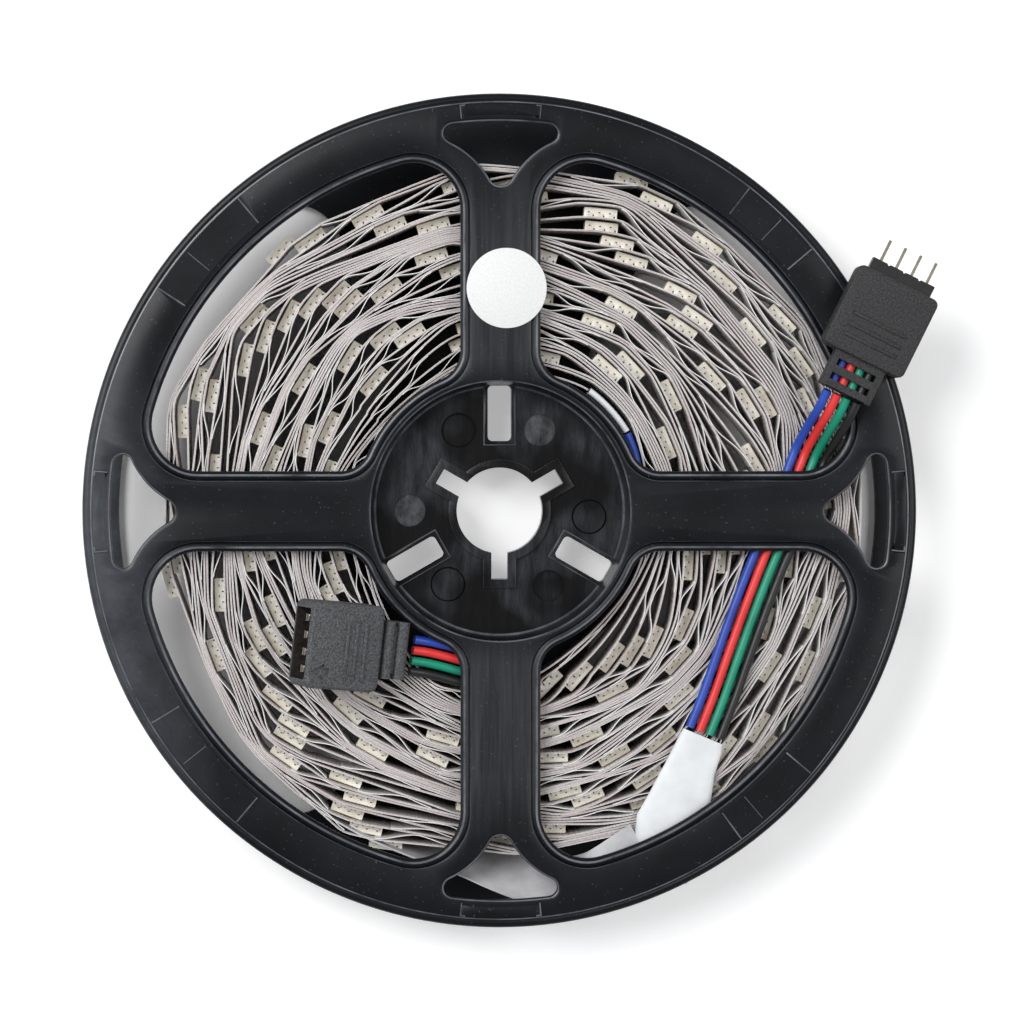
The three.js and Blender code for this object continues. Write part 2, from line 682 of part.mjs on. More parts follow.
function femaleSocket() {
  const half = SOCKET_WIDTH / 2;
  const top = SOCKET_THICKNESS / 2;
  const outline = roundedRectangle(0, -half, SOCKET_LENGTH, half, 1.2);
  const mouthStart = SOCKET_LENGTH - MOUTH_DEPTH;
  const mouth = rectangle(mouthStart, -MOUTH_WIDTH / 2, SOCKET_LENGTH + THROUGH, MOUTH_WIDTH / 2);
  const body = block(outline, -top, top)
    .subtract(block(mouth, -MOUTH_HEIGHT / 2, MOUTH_HEIGHT / 2))
    .add(relief(0, 0));
  const tilted = new THREE.Group();
  tilted.add(part('socket_body', geometryOf(body), socketCharcoal));
  for (let i = 0; i < PIN_COUNT; i += 1) {
    const y = (i - (PIN_COUNT - 1) / 2) * PIN_PITCH;
    const contact = new THREE.BoxGeometry(CONTACT_LENGTH, CONTACT_SIZE, CONTACT_SIZE);
    contact.translate(mouthStart + GAP + CONTACT_LENGTH / 2, y, 0);
    tilted.add(part(`socket_contact_${i + 1}`, contact, contactMetal));
  }
  tilted.rotation.y = -radians(SOCKET_TILT);
  const group = new THREE.Group();
  group.add(tilted);
  group.position.set(SOCKET_REAR_X, SOCKET_REAR_Y, SOCKET_REAR_Z);
  group.rotation.z = radians(SOCKET_HEADING);
  return group;
}

function roundLabel() {
  return prism(circle(LABEL_X, LABEL_Y, LABEL_RADIUS), reelHeight, reelHeight + LABEL_THICKNESS);
}

const reel = new THREE.Group();
reel.add(part('spool_upper_half', geometryOf(upperHalf()), spoolBlack));
reel.add(part('spool_lower_half', geometryOf(lowerHalf()), spoolBlack));
reel.add(part('led_strip', geometryOf(ledStrip()), stripSilver));
reel.add(part('inner_end_sleeve', innerSleeve(), sleeveWhite));
reel.add(part('outer_end_sleeve', outerSleeve(), sleeveWhite));
reel.add(...wires(outerLead, 'outer'));
reel.add(...wires(innerLead, 'inner'));
reel.add(malePlug());
reel.add(femaleSocket());
reel.add(part('round_label', roundLabel(), labelWhite));

export default reel;
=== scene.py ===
"""The looks of an LED strip reel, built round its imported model."""

import math

import bmesh
import bpy
import numpy as np
from mathutils import Matrix, Vector


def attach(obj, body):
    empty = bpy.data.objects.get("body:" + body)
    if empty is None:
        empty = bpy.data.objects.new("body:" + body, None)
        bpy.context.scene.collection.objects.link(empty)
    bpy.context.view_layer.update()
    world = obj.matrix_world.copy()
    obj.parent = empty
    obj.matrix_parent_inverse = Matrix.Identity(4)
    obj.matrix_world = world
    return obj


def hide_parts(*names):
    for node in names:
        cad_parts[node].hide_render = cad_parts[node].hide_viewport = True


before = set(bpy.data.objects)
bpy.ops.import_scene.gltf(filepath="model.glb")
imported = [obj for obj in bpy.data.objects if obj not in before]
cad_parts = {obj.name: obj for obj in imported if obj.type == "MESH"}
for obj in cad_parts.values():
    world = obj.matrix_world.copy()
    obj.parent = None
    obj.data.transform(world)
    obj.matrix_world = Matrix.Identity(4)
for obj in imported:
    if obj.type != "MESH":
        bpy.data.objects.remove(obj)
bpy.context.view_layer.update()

MM = 0.001
scene = bpy.context.scene

# Heights and radii of the reel, in millimetres
RIM = 62.5
DRUM = 20.2
FLANGE = 1.6
TOP = 15.5
PARTING = 7.75
STRIP_TOP = 11.9
STRIP_MIDDLE = 6.9
WIRE_LEVEL = 12.895
WIRE = 1.35
WIRE_PITCH = 1.6
COLOURS = ["blue", "red", "green", "black"]
QUARTERS = (0, 90, 180, 270)

BLACK = (0, 0, 0, 1)
WHITE = (1, 1, 1, 1)


# Camera

def place_camera():
    lens = bpy.data.cameras.new("camera")
    lens.lens = 141
    lens.sensor_width = 36
    lens.clip_start = 0.01
    camera = bpy.data.objects.new("camera", lens)
    scene.collection.objects.link(camera)
    eye = Vector((-16.7, 12.0, TOP + 600)) * MM
    aim = Vector((1.7, -0.1, TOP)) * MM
    forward = (aim - eye).normalized()
    right = forward.cross(Vector((0, 1, 0))).normalized()
    up = right.cross(forward)
    turn = Matrix((right, up, -forward)).transposed().to_4x4()
    camera.matrix_world = Matrix.Translation(eye) @ turn
    scene.camera = camera


# Helpers for modelling by hand

def rest():
    """Leaves edit mode and deselects everything."""
    if bpy.context.object and bpy.context.object.mode != "OBJECT":
        bpy.ops.object.mode_set(mode="OBJECT")
    bpy.ops.object.select_all(action="DESELECT")


def take(body):
    rest()
    bpy.context.view_layer.objects.active = body
    body.select_set(True)


def settle(body):
    """Puts the object's place into its mesh."""
    take(body)
    bpy.ops.object.transform_apply(location=True, rotation=True, scale=True)
    return body


def named(name):
    """Names the active object and its mesh."""
    body = bpy.context.object
    body.name = name
    body.data.name = name
    return body


def rotation(angle, axis="Z"):
    return Matrix.Rotation(math.radians(angle), 4, axis)


def cylinder(name, radius, low, high, x=0.0, y=0.0, sides=48):
    rest()
    bpy.ops.mesh.primitive_cylinder_add(
        vertices=sides, radius=radius * MM, depth=(high - low) * MM,
        location=(x * MM, y * MM, (low + high) / 2 * MM))
    return settle(named(name))


def block(name, x, y, z, turn=0.0):
    """A cuboid between pairs of x, y and z, then turned about the reel's axis."""
    rest()
    bpy.ops.mesh.primitive_cube_add(size=1, location=(sum(x) / 2 * MM, sum(y) / 2 * MM, sum(z) / 2 * MM))
    body = named(name)
    body.scale = ((x[1] - x[0]) * MM, (y[1] - y[0]) * MM, (z[1] - z[0]) * MM)
    settle(body)
    body.data.transform(rotation(turn))
    return body


def rounded(point):
    return tuple(round(c, 9) for c in point)


def lofted(name, loops):
    """A closed body through loops of equally many points, each given as x, y, z in millimetres."""
    rest()
    count = len(loops[0])
    bpy.ops.mesh.primitive_circle_add(vertices=count, radius=1, fill_type="NGON")
    body = named(name)
    for vertex, point in zip(body.data.vertices, loops[0]):
        vertex.co = Vector(point) * MM
    bpy.ops.object.mode_set(mode="EDIT")
    last = [Vector(point) * MM for point in loops[0]]
    for loop in loops[1:]:
        bpy.ops.mesh.extrude_region()
        mesh = bmesh.from_edit_mesh(body.data)
        place = {rounded(point): i for i, point in enumerate(last)}
        after = [Vector(point) * MM for point in loop]
        for vertex in [v for v in mesh.verts if v.select]:
            vertex.co = after[place[rounded(vertex.co)]]
        last = [Vector(np.float32(point)) for point in after]
    bmesh.update_edit_mesh(body.data)
    bpy.ops.mesh.select_all(action="SELECT")
    bpy.ops.mesh.normals_make_consistent(inside=False)
    rest()
    return body


def turned(name, profile, sides=240):
    """A lofted body of revolution through a profile of radius and height."""
    ring = [(math.cos(2 * math.pi * i / sides), math.sin(2 * math.pi * i / sides)) for i in range(sides)]
    return lofted(name, [[(r * x, r * y, z) for x, y in ring] for r, z in profile])


def combine(body, tools, operation):
    """Cuts the tools out of a body, or joins them on to it."""
    for tool in tools:
        take(body)
        change = body.modifiers.new(operation.lower(), "BOOLEAN")
        change.operation = operation
        change.solver = "EXACT"
        change.object = tool
        bpy.ops.object.modifier_apply(modifier=change.name)
        bpy.data.objects.remove(tool)
    return body


def cut(body, *tools):
    return combine(body, tools, "DIFFERENCE")


def join_on(body, *tools):
    return combine(body, tools, "UNION")


def round_edges(body, width, chosen, segments=3):
    """Bevels the edges for which chosen(start, end) holds, in millimetres."""
    take(body)
    bpy.ops.object.mode_set(mode="EDIT")
    bpy.ops.mesh.select_mode(type="EDGE")
    bpy.ops.mesh.select_all(action="DESELECT")
    mesh = bmesh.from_edit_mesh(body.data)
    for edge in mesh.edges:
        edge.select = chosen(edge.verts[0].co / MM, edge.verts[1].co / MM)
    mesh.select_flush_mode()
    bmesh.update_edit_mesh(body.data)
    bpy.ops.mesh.bevel(offset=width * MM, segments=segments, affect="EDGES", clamp_overlap=True)
    rest()
    return body


def group_up(name, parts):
    """Joins several meshes into one piece without merging them."""
    take(parts[0])
    for part in parts:
        part.select_set(True)
    bpy.ops.object.join()
    return named(name)


def finish_piece(body, material, stands_for=(), smooth=35):
    """Gives a piece its finish and its body, and hides the imported parts that it stands for."""
    take(body)
    if material is not None:
        body.data.materials.clear()
        body.data.materials.append(material)
    if smooth:
        bpy.ops.object.shade_smooth_by_angle(angle=math.radians(smooth))
    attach(body, "root")
    if stands_for:
        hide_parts(*stands_for)
    return body


# Materials

def srgb(red, green, blue):
    def linear(c):
        c = c / 255
        return c / 12.92 if c <= 0.04045 else ((c + 0.055) / 1.055) ** 2.4
    return (linear(red), linear(green), linear(blue), 1)


class Finish:
    """A node material on Object coordinates, built up step by step."""

    def __init__(self, name, colour, roughness, metallic=0.0, specular=0.5):
        self.material = bpy.data.materials.new(name)
        self.material.use_nodes = True
        self.nodes = self.material.node_tree.nodes
        self.links = self.material.node_tree.links
        self.shader = self.nodes["Principled BSDF"]
        self.shader.inputs["Base Color"].default_value = colour
        self.shader.inputs["Roughness"].default_value = roughness
        self.shader.inputs["Metallic"].default_value = metallic
        self.shader.inputs["Specular IOR Level"].default_value = specular
        self.place = self.nodes.new("ShaderNodeTexCoord")
        self.height = None

    def mapped(self, scale, output="Object"):
        node = self.nodes.new("ShaderNodeMapping")
        node.inputs["Scale"].default_value = scale
        self.links.new(self.place.outputs[output], node.inputs["Vector"])
        return node.outputs["Vector"]

    def noise(self, scale, detail=3, roughness=0.5, stretch=None, output="Object"):
        node = self.nodes.new("ShaderNodeTexNoise")
        node.inputs["Scale"].default_value = scale
        node.inputs["Detail"].default_value = detail
        node.inputs["Roughness"].default_value = roughness
        source = self.mapped(stretch, output) if stretch else self.place.outputs[output]
        self.links.new(source, node.inputs["Vector"])
        return node.outputs["Fac"]

    def ramp(self, value, stops):
        node = self.nodes.new("ShaderNodeValToRGB")
        points = node.color_ramp.elements
        while len(points) < len(stops):
            points.new(0.5)
        for point, (place, colour) in zip(points, stops):
            point.position = place
            point.color = colour
        self.links.new(value, node.inputs["Fac"])
        return node.outputs["Color"]

    def math(self, operation, first, second=None):
        node = self.nodes.new("ShaderNodeMath")
        node.operation = operation
        for socket, value in zip(node.inputs, (first, second)):
            if value is None:
                continue
            if isinstance(value, (int, float)):
                socket.default_value = value
            else:
                self.links.new(value, socket)
        return node.outputs["Value"]

    def mix(self, share, first, second, blend="MIX"):
        node = self.nodes.new("ShaderNodeMix")
        node.data_type = "RGBA"
        node.blend_type = blend
        factor, a, b = 0, 6, 7
        for index, value in ((factor, share), (a, first), (b, second)):
            if isinstance(value, (int, float, tuple)):
                node.inputs[index].default_value = value
            else:
                self.links.new(value, node.inputs[index])
        return node.outputs[2]

    def axes(self, output="Object"):
        """The place's own X, Y and Z."""
        node = self.nodes.new("ShaderNodeSeparateXYZ")
        self.links.new(self.place.outputs[output], node.inputs["Vector"])
        return tuple(node.outputs)

    def times(self, first, second):
        return self.math("MULTIPLY", first, second)

    def colour(self, socket):
        self.links.new(socket, self.shader.inputs["Base Color"])

    def shade(self, value, low, dark, high, light):
        """Colours the piece from dark to light as the value rises from low to high."""
        self.colour(self.ramp(value, [(low, dark), (high, light)]))

    def rough(self, value, low, high):
        node = self.nodes.new("ShaderNodeMapRange")
        node.inputs["To Min"].default_value = low
        node.inputs["To Max"].default_value = high
        self.links.new(value, node.inputs["Value"])
        self.links.new(node.outputs["Result"], self.shader.inputs["Roughness"])

    def bump(self, value, distance, strength=1.0):
        node = self.nodes.new("ShaderNodeBump")
        node.inputs["Strength"].default_value = strength
        node.inputs["Distance"].default_value = distance * MM
        self.links.new(value, node.inputs["Height"])
        if self.height:
            self.links.new(self.height, node.inputs["Normal"])
        self.height = node.outputs["Normal"]
        self.links.new(self.height, self.shader.inputs["Normal"])


def spool_plastic():
    """Satin black moulding with grain and dust, a painted sheen along the streak lines of the upright spokes, and
    a painted sheen on the left rim.
    """
    finish = Finish("spool_plastic", srgb(14, 15, 18), 0.36, specular=0.22)
    cloud = finish.noise(90, 4, 0.6)
    base = finish.ramp(cloud, [(0.3, srgb(9, 10, 13)), (0.7, srgb(17, 19, 25))])
    x, y, _ = finish.axes()
    streak = finish.noise(1, 5, 0.7, stretch=(1500, 55, 300))
    streaks = finish.ramp(streak, [(0.38, (0.35, 0.35, 0.35, 1)), (0.7, WHITE)])
    # Painted sheen: the streak lines on the upright spokes are mixed towards a lighter grey.
    upright = finish.ramp(finish.times(finish.math("ABSOLUTE", x), 100), [(0.55, WHITE), (0.9, BLACK)])
    inner = finish.ramp(finish.times(finish.math("ABSOLUTE", y), 20), [
        (0.38, BLACK), (0.46, WHITE), (0.8, WHITE), (1.0, BLACK)])
    spoke_sheen = finish.times(finish.times(upright, inner), streaks)
    base = finish.mix(spoke_sheen, base, srgb(54, 55, 58))
    # Painted sheen on the left rim, broken up by noise and mixed towards a lighter grey.
    leftward = finish.math("ADD", finish.times(x, -16.4), finish.times(y, -2.9))
    left_rim_sheen = finish.ramp(leftward, [(0.8, BLACK), (1.0, WHITE)])
    sheen_noise = finish.noise(210, 4, 0.7)
    sheen_patches = finish.ramp(sheen_noise, [(0.3, (0.45, 0.45, 0.45, 1)), (0.7, WHITE)])
    base = finish.mix(finish.times(left_rim_sheen, sheen_patches), base, srgb(68, 71, 77))
    speck = finish.noise(2600, 1, 0.4)
    specks = finish.ramp(speck, [(0.725, BLACK), (0.77, WHITE)])
    finish.colour(finish.mix(finish.times(specks, 0.35), base, srgb(96, 100, 106)))
    finish.rough(cloud, 0.28, 0.42)
    finish.bump(finish.noise(3500, 2, 0.5), 0.02, 0.35)
    finish.bump(streak, 0.015, 0.4)
    return finish.material


def edge_highlight():
    """The spool's raised edges, painted lighter as a highlight."""
    finish = Finish("edge_highlight", srgb(70, 73, 80), 0.25, specular=0.5)
    highlight_noise = finish.noise(160, 4, 0.65)
    finish.shade(highlight_noise, 0.32, srgb(44, 46, 52), 0.7, srgb(112, 115, 122))
    finish.rough(highlight_noise, 0.2, 0.4)
    finish.bump(finish.noise(2600, 2), 0.02, 0.3)
    return finish.material


def hub_plastic():
    """The spool's black inside the hub, glossy with brushed scuffs."""
    finish = Finish("hub_plastic", srgb(10, 10, 12), 0.22, specular=0.22)
    brush = finish.noise(1, 6, 0.75, stretch=(900, 160, 300))
    zone = finish.noise(1, 2, 0.5, stretch=(75, 75, 1))
    where = finish.ramp(zone, [(0.47, BLACK), (0.6, WHITE)])
    lines = finish.ramp(brush, [(0.35, (0.2, 0.2, 0.2, 1)), (0.68, WHITE)])
    scuffed = finish.times(where, lines)
    finish.colour(finish.mix(scuffed, srgb(8, 8, 10), srgb(58, 60, 64)))
    finish.rough(brush, 0.14, 0.4)
    finish.bump(finish.noise(1800, 4, 0.6), 0.03, 0.4)
    finish.bump(brush, 0.02, 0.5)
    return finish.material


def peg_plastic():
    """Gate marks on the pegs, scuffed by hand."""
    finish = Finish("peg_plastic", srgb(40, 41, 44), 0.4, specular=0.3)
    scuff = finish.noise(1, 6, 0.8, stretch=(520, 260, 520))
    finish.shade(scuff, 0.36, srgb(12, 12, 14), 0.7, srgb(84, 86, 90))
    finish.bump(scuff, 0.05, 0.6)
    return finish.material


def strip_edges():
    """Cut edges of the wound strip, on its own map: liner, adhesive and circuit across its thickness."""
    finish = Finish("strip_edges", srgb(190, 184, 182), 0.42, 0.15, 0.5)
    layers = finish.ramp(finish.axes("UV")[1], [
        (0.0, srgb(236, 234, 232)),
        (0.25, srgb(230, 227, 226)),
        (0.36, srgb(150, 145, 145)),
        (0.55, srgb(218, 213, 212)),
        (0.86, srgb(240, 236, 235)),
        (1.0, srgb(240, 237, 236)),
    ])
    bead = finish.noise(1, 2, 0.6, stretch=(3200, 3, 1), output="UV")
    beads = finish.ramp(bead, [(0.34, srgb(112, 109, 108)), (0.6, srgb(255, 255, 255))])
    shade = finish.mix(0.42, layers, beads, "MULTIPLY")
    slow = finish.noise(1, 3, 0.6, stretch=(60, 1, 1), output="UV")
    warm = finish.ramp(slow, [(0.35, srgb(226, 216, 214)), (0.65, srgb(255, 255, 255))])
    finish.colour(finish.mix(1.0, shade, warm, "MULTIPLY"))
    finish.rough(bead, 0.35, 0.6)
    finish.bump(bead, 0.05, 0.6)
    return finish.material


def strip_back():
    """The grey back of the strip, which shows where its free end twists flat."""
    finish = Finish("strip_back", srgb(150, 150, 153), 0.4)
    grain = finish.noise(240, 3, 0.6)
    finish.shade(grain, 0.3, srgb(176, 176, 179), 0.7, srgb(204, 204, 206))
    finish.rough(grain, 0.3, 0.5)
    return finish.material


def liner_edge():
    """Edge of the paper liner where it has come off."""
    finish = Finish("liner_edge", srgb(226, 224, 222), 0.45)
    grain = finish.noise(1900, 3, 0.6)
    finish.shade(grain, 0.3, srgb(226, 225, 224), 0.7, srgb(248, 248, 247))
    finish.rough(grain, 0.4, 0.6)
    return finish.material


def package_body():
    """Cream moulding of the LED packages."""
    finish = Finish("package_body", srgb(226, 220, 202), 0.5)
    grain = finish.noise(230, 3, 0.6)
    finish.shade(grain, 0.32, srgb(218, 211, 192), 0.68, srgb(252, 249, 238))
    finish.rough(grain, 0.4, 0.6)
    finish.bump(finish.noise(5200, 2), 0.02, 0.4)
    return finish.material


def package_lens():
    """Yellow face of the LED packages."""
    finish = Finish("package_lens", srgb(235, 226, 180), 0.25, specular=0.6)
    grain = finish.noise(900, 2)
    finish.shade(grain, 0.3, srgb(224, 212, 160), 0.7, srgb(240, 232, 196))
    return finish.material


def tinned():
    """Solder on the packages' feet."""
    finish = Finish("tinned_metal", srgb(236, 232, 222), 0.3, 0.6)
    grain = finish.noise(2400, 3)
    finish.rough(grain, 0.2, 0.42)
    finish.bump(grain, 0.02, 0.3)
    return finish.material


def hollow_shade():
    """Painted shade for small hollows, in the packages' notches and in the socket's mouth."""
    finish = Finish("hollow_shade", srgb(38, 34, 32), 0.6)
    grain = finish.noise(1500, 2)
    finish.shade(grain, 0.3, srgb(26, 23, 22), 0.7, srgb(58, 54, 50))
    return finish.material


def pin_metal():
    """Dull metal of the plug's pins and the socket's contacts."""
    finish = Finish("pin_metal", srgb(150, 144, 130), 0.25, 1.0)
    grain = finish.noise(1600, 3)
    finish.rough(grain, 0.2, 0.4)
    return finish.material


def wire_jacket(name, colour, light):
    """Satin insulation with faint drawing lines and slight shade changes along the wire."""
    finish = Finish(f"wire_jacket_{name}", colour, 0.38, specular=0.5)
    cloud = finish.noise(160, 3, 0.6)
    finish.shade(cloud, 0.3, colour, 0.75, light)
    finish.rough(finish.noise(700, 2), 0.3, 0.5)
    finish.bump(finish.noise(2200, 2), 0.02, 0.3)
    return finish.material


def connector_plastic(name, dark, light):
    """Charcoal moulding with a sparkling spark-eroded texture."""
    finish = Finish(name, dark, 0.6, specular=0.35)
    grain = finish.noise(3600, 2, 0.6)
    finish.shade(grain, 0.28, dark, 0.74, light)
    finish.rough(grain, 0.45, 0.75)
    finish.bump(grain, 0.08, 0.8)
    return finish.material


def header_plastic():
    """Black bank that holds the plug's pins."""
    finish = Finish("header_plastic", srgb(18, 18, 19), 0.35)
    grain = finish.noise(1400, 2)
    finish.shade(grain, 0.3, srgb(13, 13, 14), 0.7, srgb(27, 27, 29))
    return finish.material


def sleeve_shrink():
    """White shrink sleeve, softly wrinkled."""
    finish = Finish("sleeve_shrink", srgb(238, 240, 241), 0.45)
    cloud = finish.noise(220, 3, 0.5)
    finish.shade(cloud, 0.3, srgb(214, 217, 220), 0.7, srgb(232, 234, 235))
    finish.rough(cloud, 0.38, 0.55)
    finish.bump(finish.noise(1, 3, 0.5, stretch=(260, 120, 260)), 0.12, 0.5)
    return finish.material


def label_paper():
    """White label with a fine paper grain."""
    finish = Finish("label_paper", srgb(243, 244, 245), 0.55)
    grain = finish.noise(3000, 3)
    finish.shade(grain, 0.3, srgb(222, 223, 223), 0.7, srgb(234, 235, 234))
    finish.bump(grain, 0.01, 0.3)
    return finish.material


# Outlines, in millimetres

def arc(x, y, radius, start, end, steps):
    turns = np.radians(np.linspace(start, end, steps + 1))
    return [(x + radius * math.cos(t), y + radius * math.sin(t)) for t in turns]


def spun(points, angle):
    c, s = math.cos(math.radians(angle)), math.sin(math.radians(angle))
    return [(x * c - y * s, x * s + y * c) for x, y in points]


def quarter_window(grow):
    """The window between two spokes, in the quarter between +X and +Y."""
    side = 6.0 - grow
    outer, inner = 54.0 + grow, 21.7 - grow
    outer_fillet, inner_fillet = 7.0 + grow, 4.6 + grow
    near = side + outer_fillet
    far = math.sqrt((outer - outer_fillet) ** 2 - near ** 2)
    close = side + inner_fillet
    deep = math.sqrt((inner + inner_fillet) ** 2 - close ** 2)
    wide = math.degrees(math.atan2(near, far))
    tight = math.degrees(math.atan2(close, deep))
    return (arc(far, near, outer_fillet, -90, wide, 14)
            + arc(0, 0, outer, wide, 90 - wide, 44)[1:-1]
            + arc(near, far, outer_fillet, 90 - wide, 180, 14)
            + arc(close, deep, inner_fillet, 180, 270 - tight, 12)
            + arc(0, 0, inner, 90 - tight, tight, 20)[1:-1]
            + arc(deep, close, inner_fillet, 180 + tight, 270, 12))


def end_window(grow):
    """The three-sided window at the outer end of the +Y spoke."""
    side_x, side_y, side_radius = 13.1, 43.1, 13.25 - grow
    outer, tip, corner = 58.3 + grow, 1.8 + grow, 1.4 + grow
    a, b = outer - corner, side_radius + corner
    between = math.hypot(side_x, side_y)
    along = (a * a - b * b + between * between) / (2 * between)
    across = math.sqrt(a * a - along * along)
    cx = (side_x * along - side_y * across) / between
    cy = (side_y * along + side_x * across) / between
    tip_y = side_y + math.sqrt((side_radius + tip) ** 2 - side_x ** 2)
    outward = math.degrees(math.atan2(cy, cx))
    at_corner = math.degrees(math.atan2(cy - side_y, cx - side_x))
    at_tip = math.degrees(math.atan2(tip_y - side_y, -side_x))
    right = (arc(0, tip_y, tip, -90, at_tip - 180, 8)
             + arc(side_x, side_y, side_radius, at_tip, at_corner, 10)[1:-1]
             + arc(cx, cy, corner, at_corner - 180, outward, 8)
             + arc(0, 0, outer, outward, 90, 8)[1:])
    return right + [(-x, y) for x, y in right[1:-1]][::-1]


def lower_window():
    """The wide window of the lower flange, centred on +X."""
    half, outer, inner, big, small = 60, 58, 24.5, 8, 4
    far, close = outer - big, inner + small
    wide = half - math.degrees(math.asin(big / far))
    tight = half - math.degrees(math.asin(small / close))
    fx, fy = far * math.cos(math.radians(wide)), far * math.sin(math.radians(wide))
    nx, ny = close * math.cos(math.radians(tight)), close * math.sin(math.radians(tight))
    return (arc(0, 0, outer, -wide, wide, 60)[1:-1]
            + arc(fx, fy, big, wide, half + 90, 12)
            + arc(nx, ny, small, half + 90, tight + 180, 10)
            + arc(0, 0, inner, tight, -tight, 30)[1:-1]
            + arc(nx, -ny, small, 180 - tight, 270 - half, 10)
            + arc(fx, -fy, big, -half - 90, -wide, 12))


def at_height(points, z):
    return [(x, y, z) for x, y in points]


# Spool, as halves with the parting face at z = 0 and the outer face at z = 7.75

WEB = 1.5
FACE = 7.75
INSIDE = FACE - FLANGE
RECESS = 19.4
BORE = 6.5
KEY_END = 10.4
KEY_HALF = 1.25
PEG = 2.4
PEG_HOLE = 2.65
PEG_CIRCLE = 13.6
UPPER_PEGS = (63.6, 180, 303)
LOWER_PEGS = (-4, 117, 235)
DEEP_PEGS = (117, 303)
SCUFFED_PEGS = (63.6, 180)


def keyed_hole(name, grow, low, high):
    """A round bar with three keys, the size of the bore plus grow."""
    body = cylinder(name, BORE + grow, low, high, sides=96)
    keys = [block("key", (0, KEY_END + grow), (-KEY_HALF - grow, KEY_HALF + grow), (low, high), angle)
            for angle in (30, 150, 270)]
    return join_on(body, *keys)


def peg_centre(angle):
    turn = math.radians(angle)
    return PEG_CIRCLE * math.cos(turn), PEG_CIRCLE * math.sin(turn)


def peg(angle, radius, low, high):
    return cylinder("peg", radius, low, high, *peg_centre(angle))


def peg_levels(angle):
    """How far a peg's recess sinks, where the peg starts and how far below the web it ends."""
    return (1.1, 1.1, 1.3) if angle in DEEP_PEGS else (0.25, 0.15, 0.5)


def spool_half(name, own_pegs, other_pegs):
    """Drum half, hub web and flange, without the flange's windows."""
    body = turned(name, [
        (DRUM, 0), (DRUM, INSIDE - 0.3), (DRUM + 0.3, INSIDE),
        (62.2, INSIDE), (62.42, INSIDE + 0.06), (RIM, INSIDE + 0.25),
        (RIM, FACE - 0.6), (62.42, FACE - 0.34), (62.24, FACE - 0.14), (61.98, FACE - 0.03), (61.7, FACE),
        (61.5, FACE - 0.09), (61.3, FACE - 0.09), (61.12, FACE),
        (19.95, FACE), (19.65, FACE - 0.07), (19.45, FACE - 0.28),
        (18.95, WEB + 0.3), (18.65, WEB),
    ])
    lip = keyed_hole("lip", 1.2, WEB - 0.6, WEB + 0.7)
    round_edges(lip, 0.22, lambda a, b: min(a.z, b.z) > WEB + 0.6, 2)
    body = join_on(body, lip)
    slots = []
    for angle in (90, 210, 330):
        frame_bar = block("slot_frame", (9.8, 18.9), (-2.45, 2.45), (WEB - 0.4, WEB + 0.45))
        round_edges(frame_bar, 0.3, lambda a, b: min(a.z, b.z) > WEB + 0.4, 3)
        frame_bar.data.transform(rotation(angle))
        body = join_on(body, frame_bar)
        slot = block("slot", (10.5, 18.9), (-1.8, 1.8), (-1, FACE))
        round_edges(slot, 0.7, lambda a, b: abs(a.x - b.x) + abs(a.y - b.y) < 0.01, 4)
        slot.data.transform(rotation(angle))
        slots.append(slot)
    body = cut(body, keyed_hole("bore", 0, -1, FACE), *slots,
               *[peg(a, PEG_HOLE, -1, WEB + 1) for a in other_pegs],
               *[peg(a, PEG, WEB - peg_levels(a)[0], WEB + 1) for a in own_pegs])
    return join_on(body, *[peg(a, PEG, peg_levels(a)[1] - WEB, WEB - peg_levels(a)[2]) for a in own_pegs])


def window_cutter(outline, angle):
    """A cutter that leaves a rounded bead and a groove along the window's edge."""
    steps = [(0.3, INSIDE - 1), (0.3, INSIDE), (0.0, INSIDE + 0.25), (0.0, FACE - 0.78), (0.06, FACE - 0.58),
             (0.2, FACE - 0.42), (0.45, FACE - 0.3), (0.75, FACE - 0.26), (1.02, FACE - 0.32),
             (1.22, FACE - 0.44), (1.34, FACE - 0.5), (1.42, FACE - 0.44), (1.45, FACE - 0.16),
             (1.52, FACE - 0.05), (1.66, FACE), (1.8, FACE + 0.6)]
    return lofted("window", [at_height(spun(outline(grow), angle), z) for grow, z in steps])


def plain_cutter(points, angle):
    """A cutter with straight walls."""
    return lofted("window", [at_height(spun(points, angle), z) for z in (INSIDE - 1, FACE + 1)])


def end_cutter(angle):
    """A cutter for an end window, with a rounded shoulder."""
    steps = [(0.25, INSIDE - 1), (0.25, INSIDE), (0.0, INSIDE + 0.2), (0.0, FACE - 0.4),
             (0.1, FACE - 0.18), (0.3, FACE - 0.05), (0.6, FACE), (0.8, FACE + 0.5)]
    return lofted("end_window", [at_height(spun(end_window(grow), angle), z) for grow, z in steps])


PAD_ENDS = ((40.1, 52.4), (130.0, 146.9), (211.2, 229.6), (306.3, 319.8))
PAD_MIDDLES = (46.1, 140.4, 218.5, 310.5)


def rim_pad(near, far, start, end, steps, rise, top):
    """A pad between two radii and two angles, its top set in by 0.1 all round."""
    def outline(inset):
        return (arc(0, 0, far - inset, start + inset, end - inset, steps)
                + arc(0, 0, near + inset, end - inset, start + inset, steps))
    return lofted("pad", [at_height(outline(0), FACE - 0.3), at_height(outline(0), FACE + rise),
                          at_height(outline(0.1), FACE + top)])


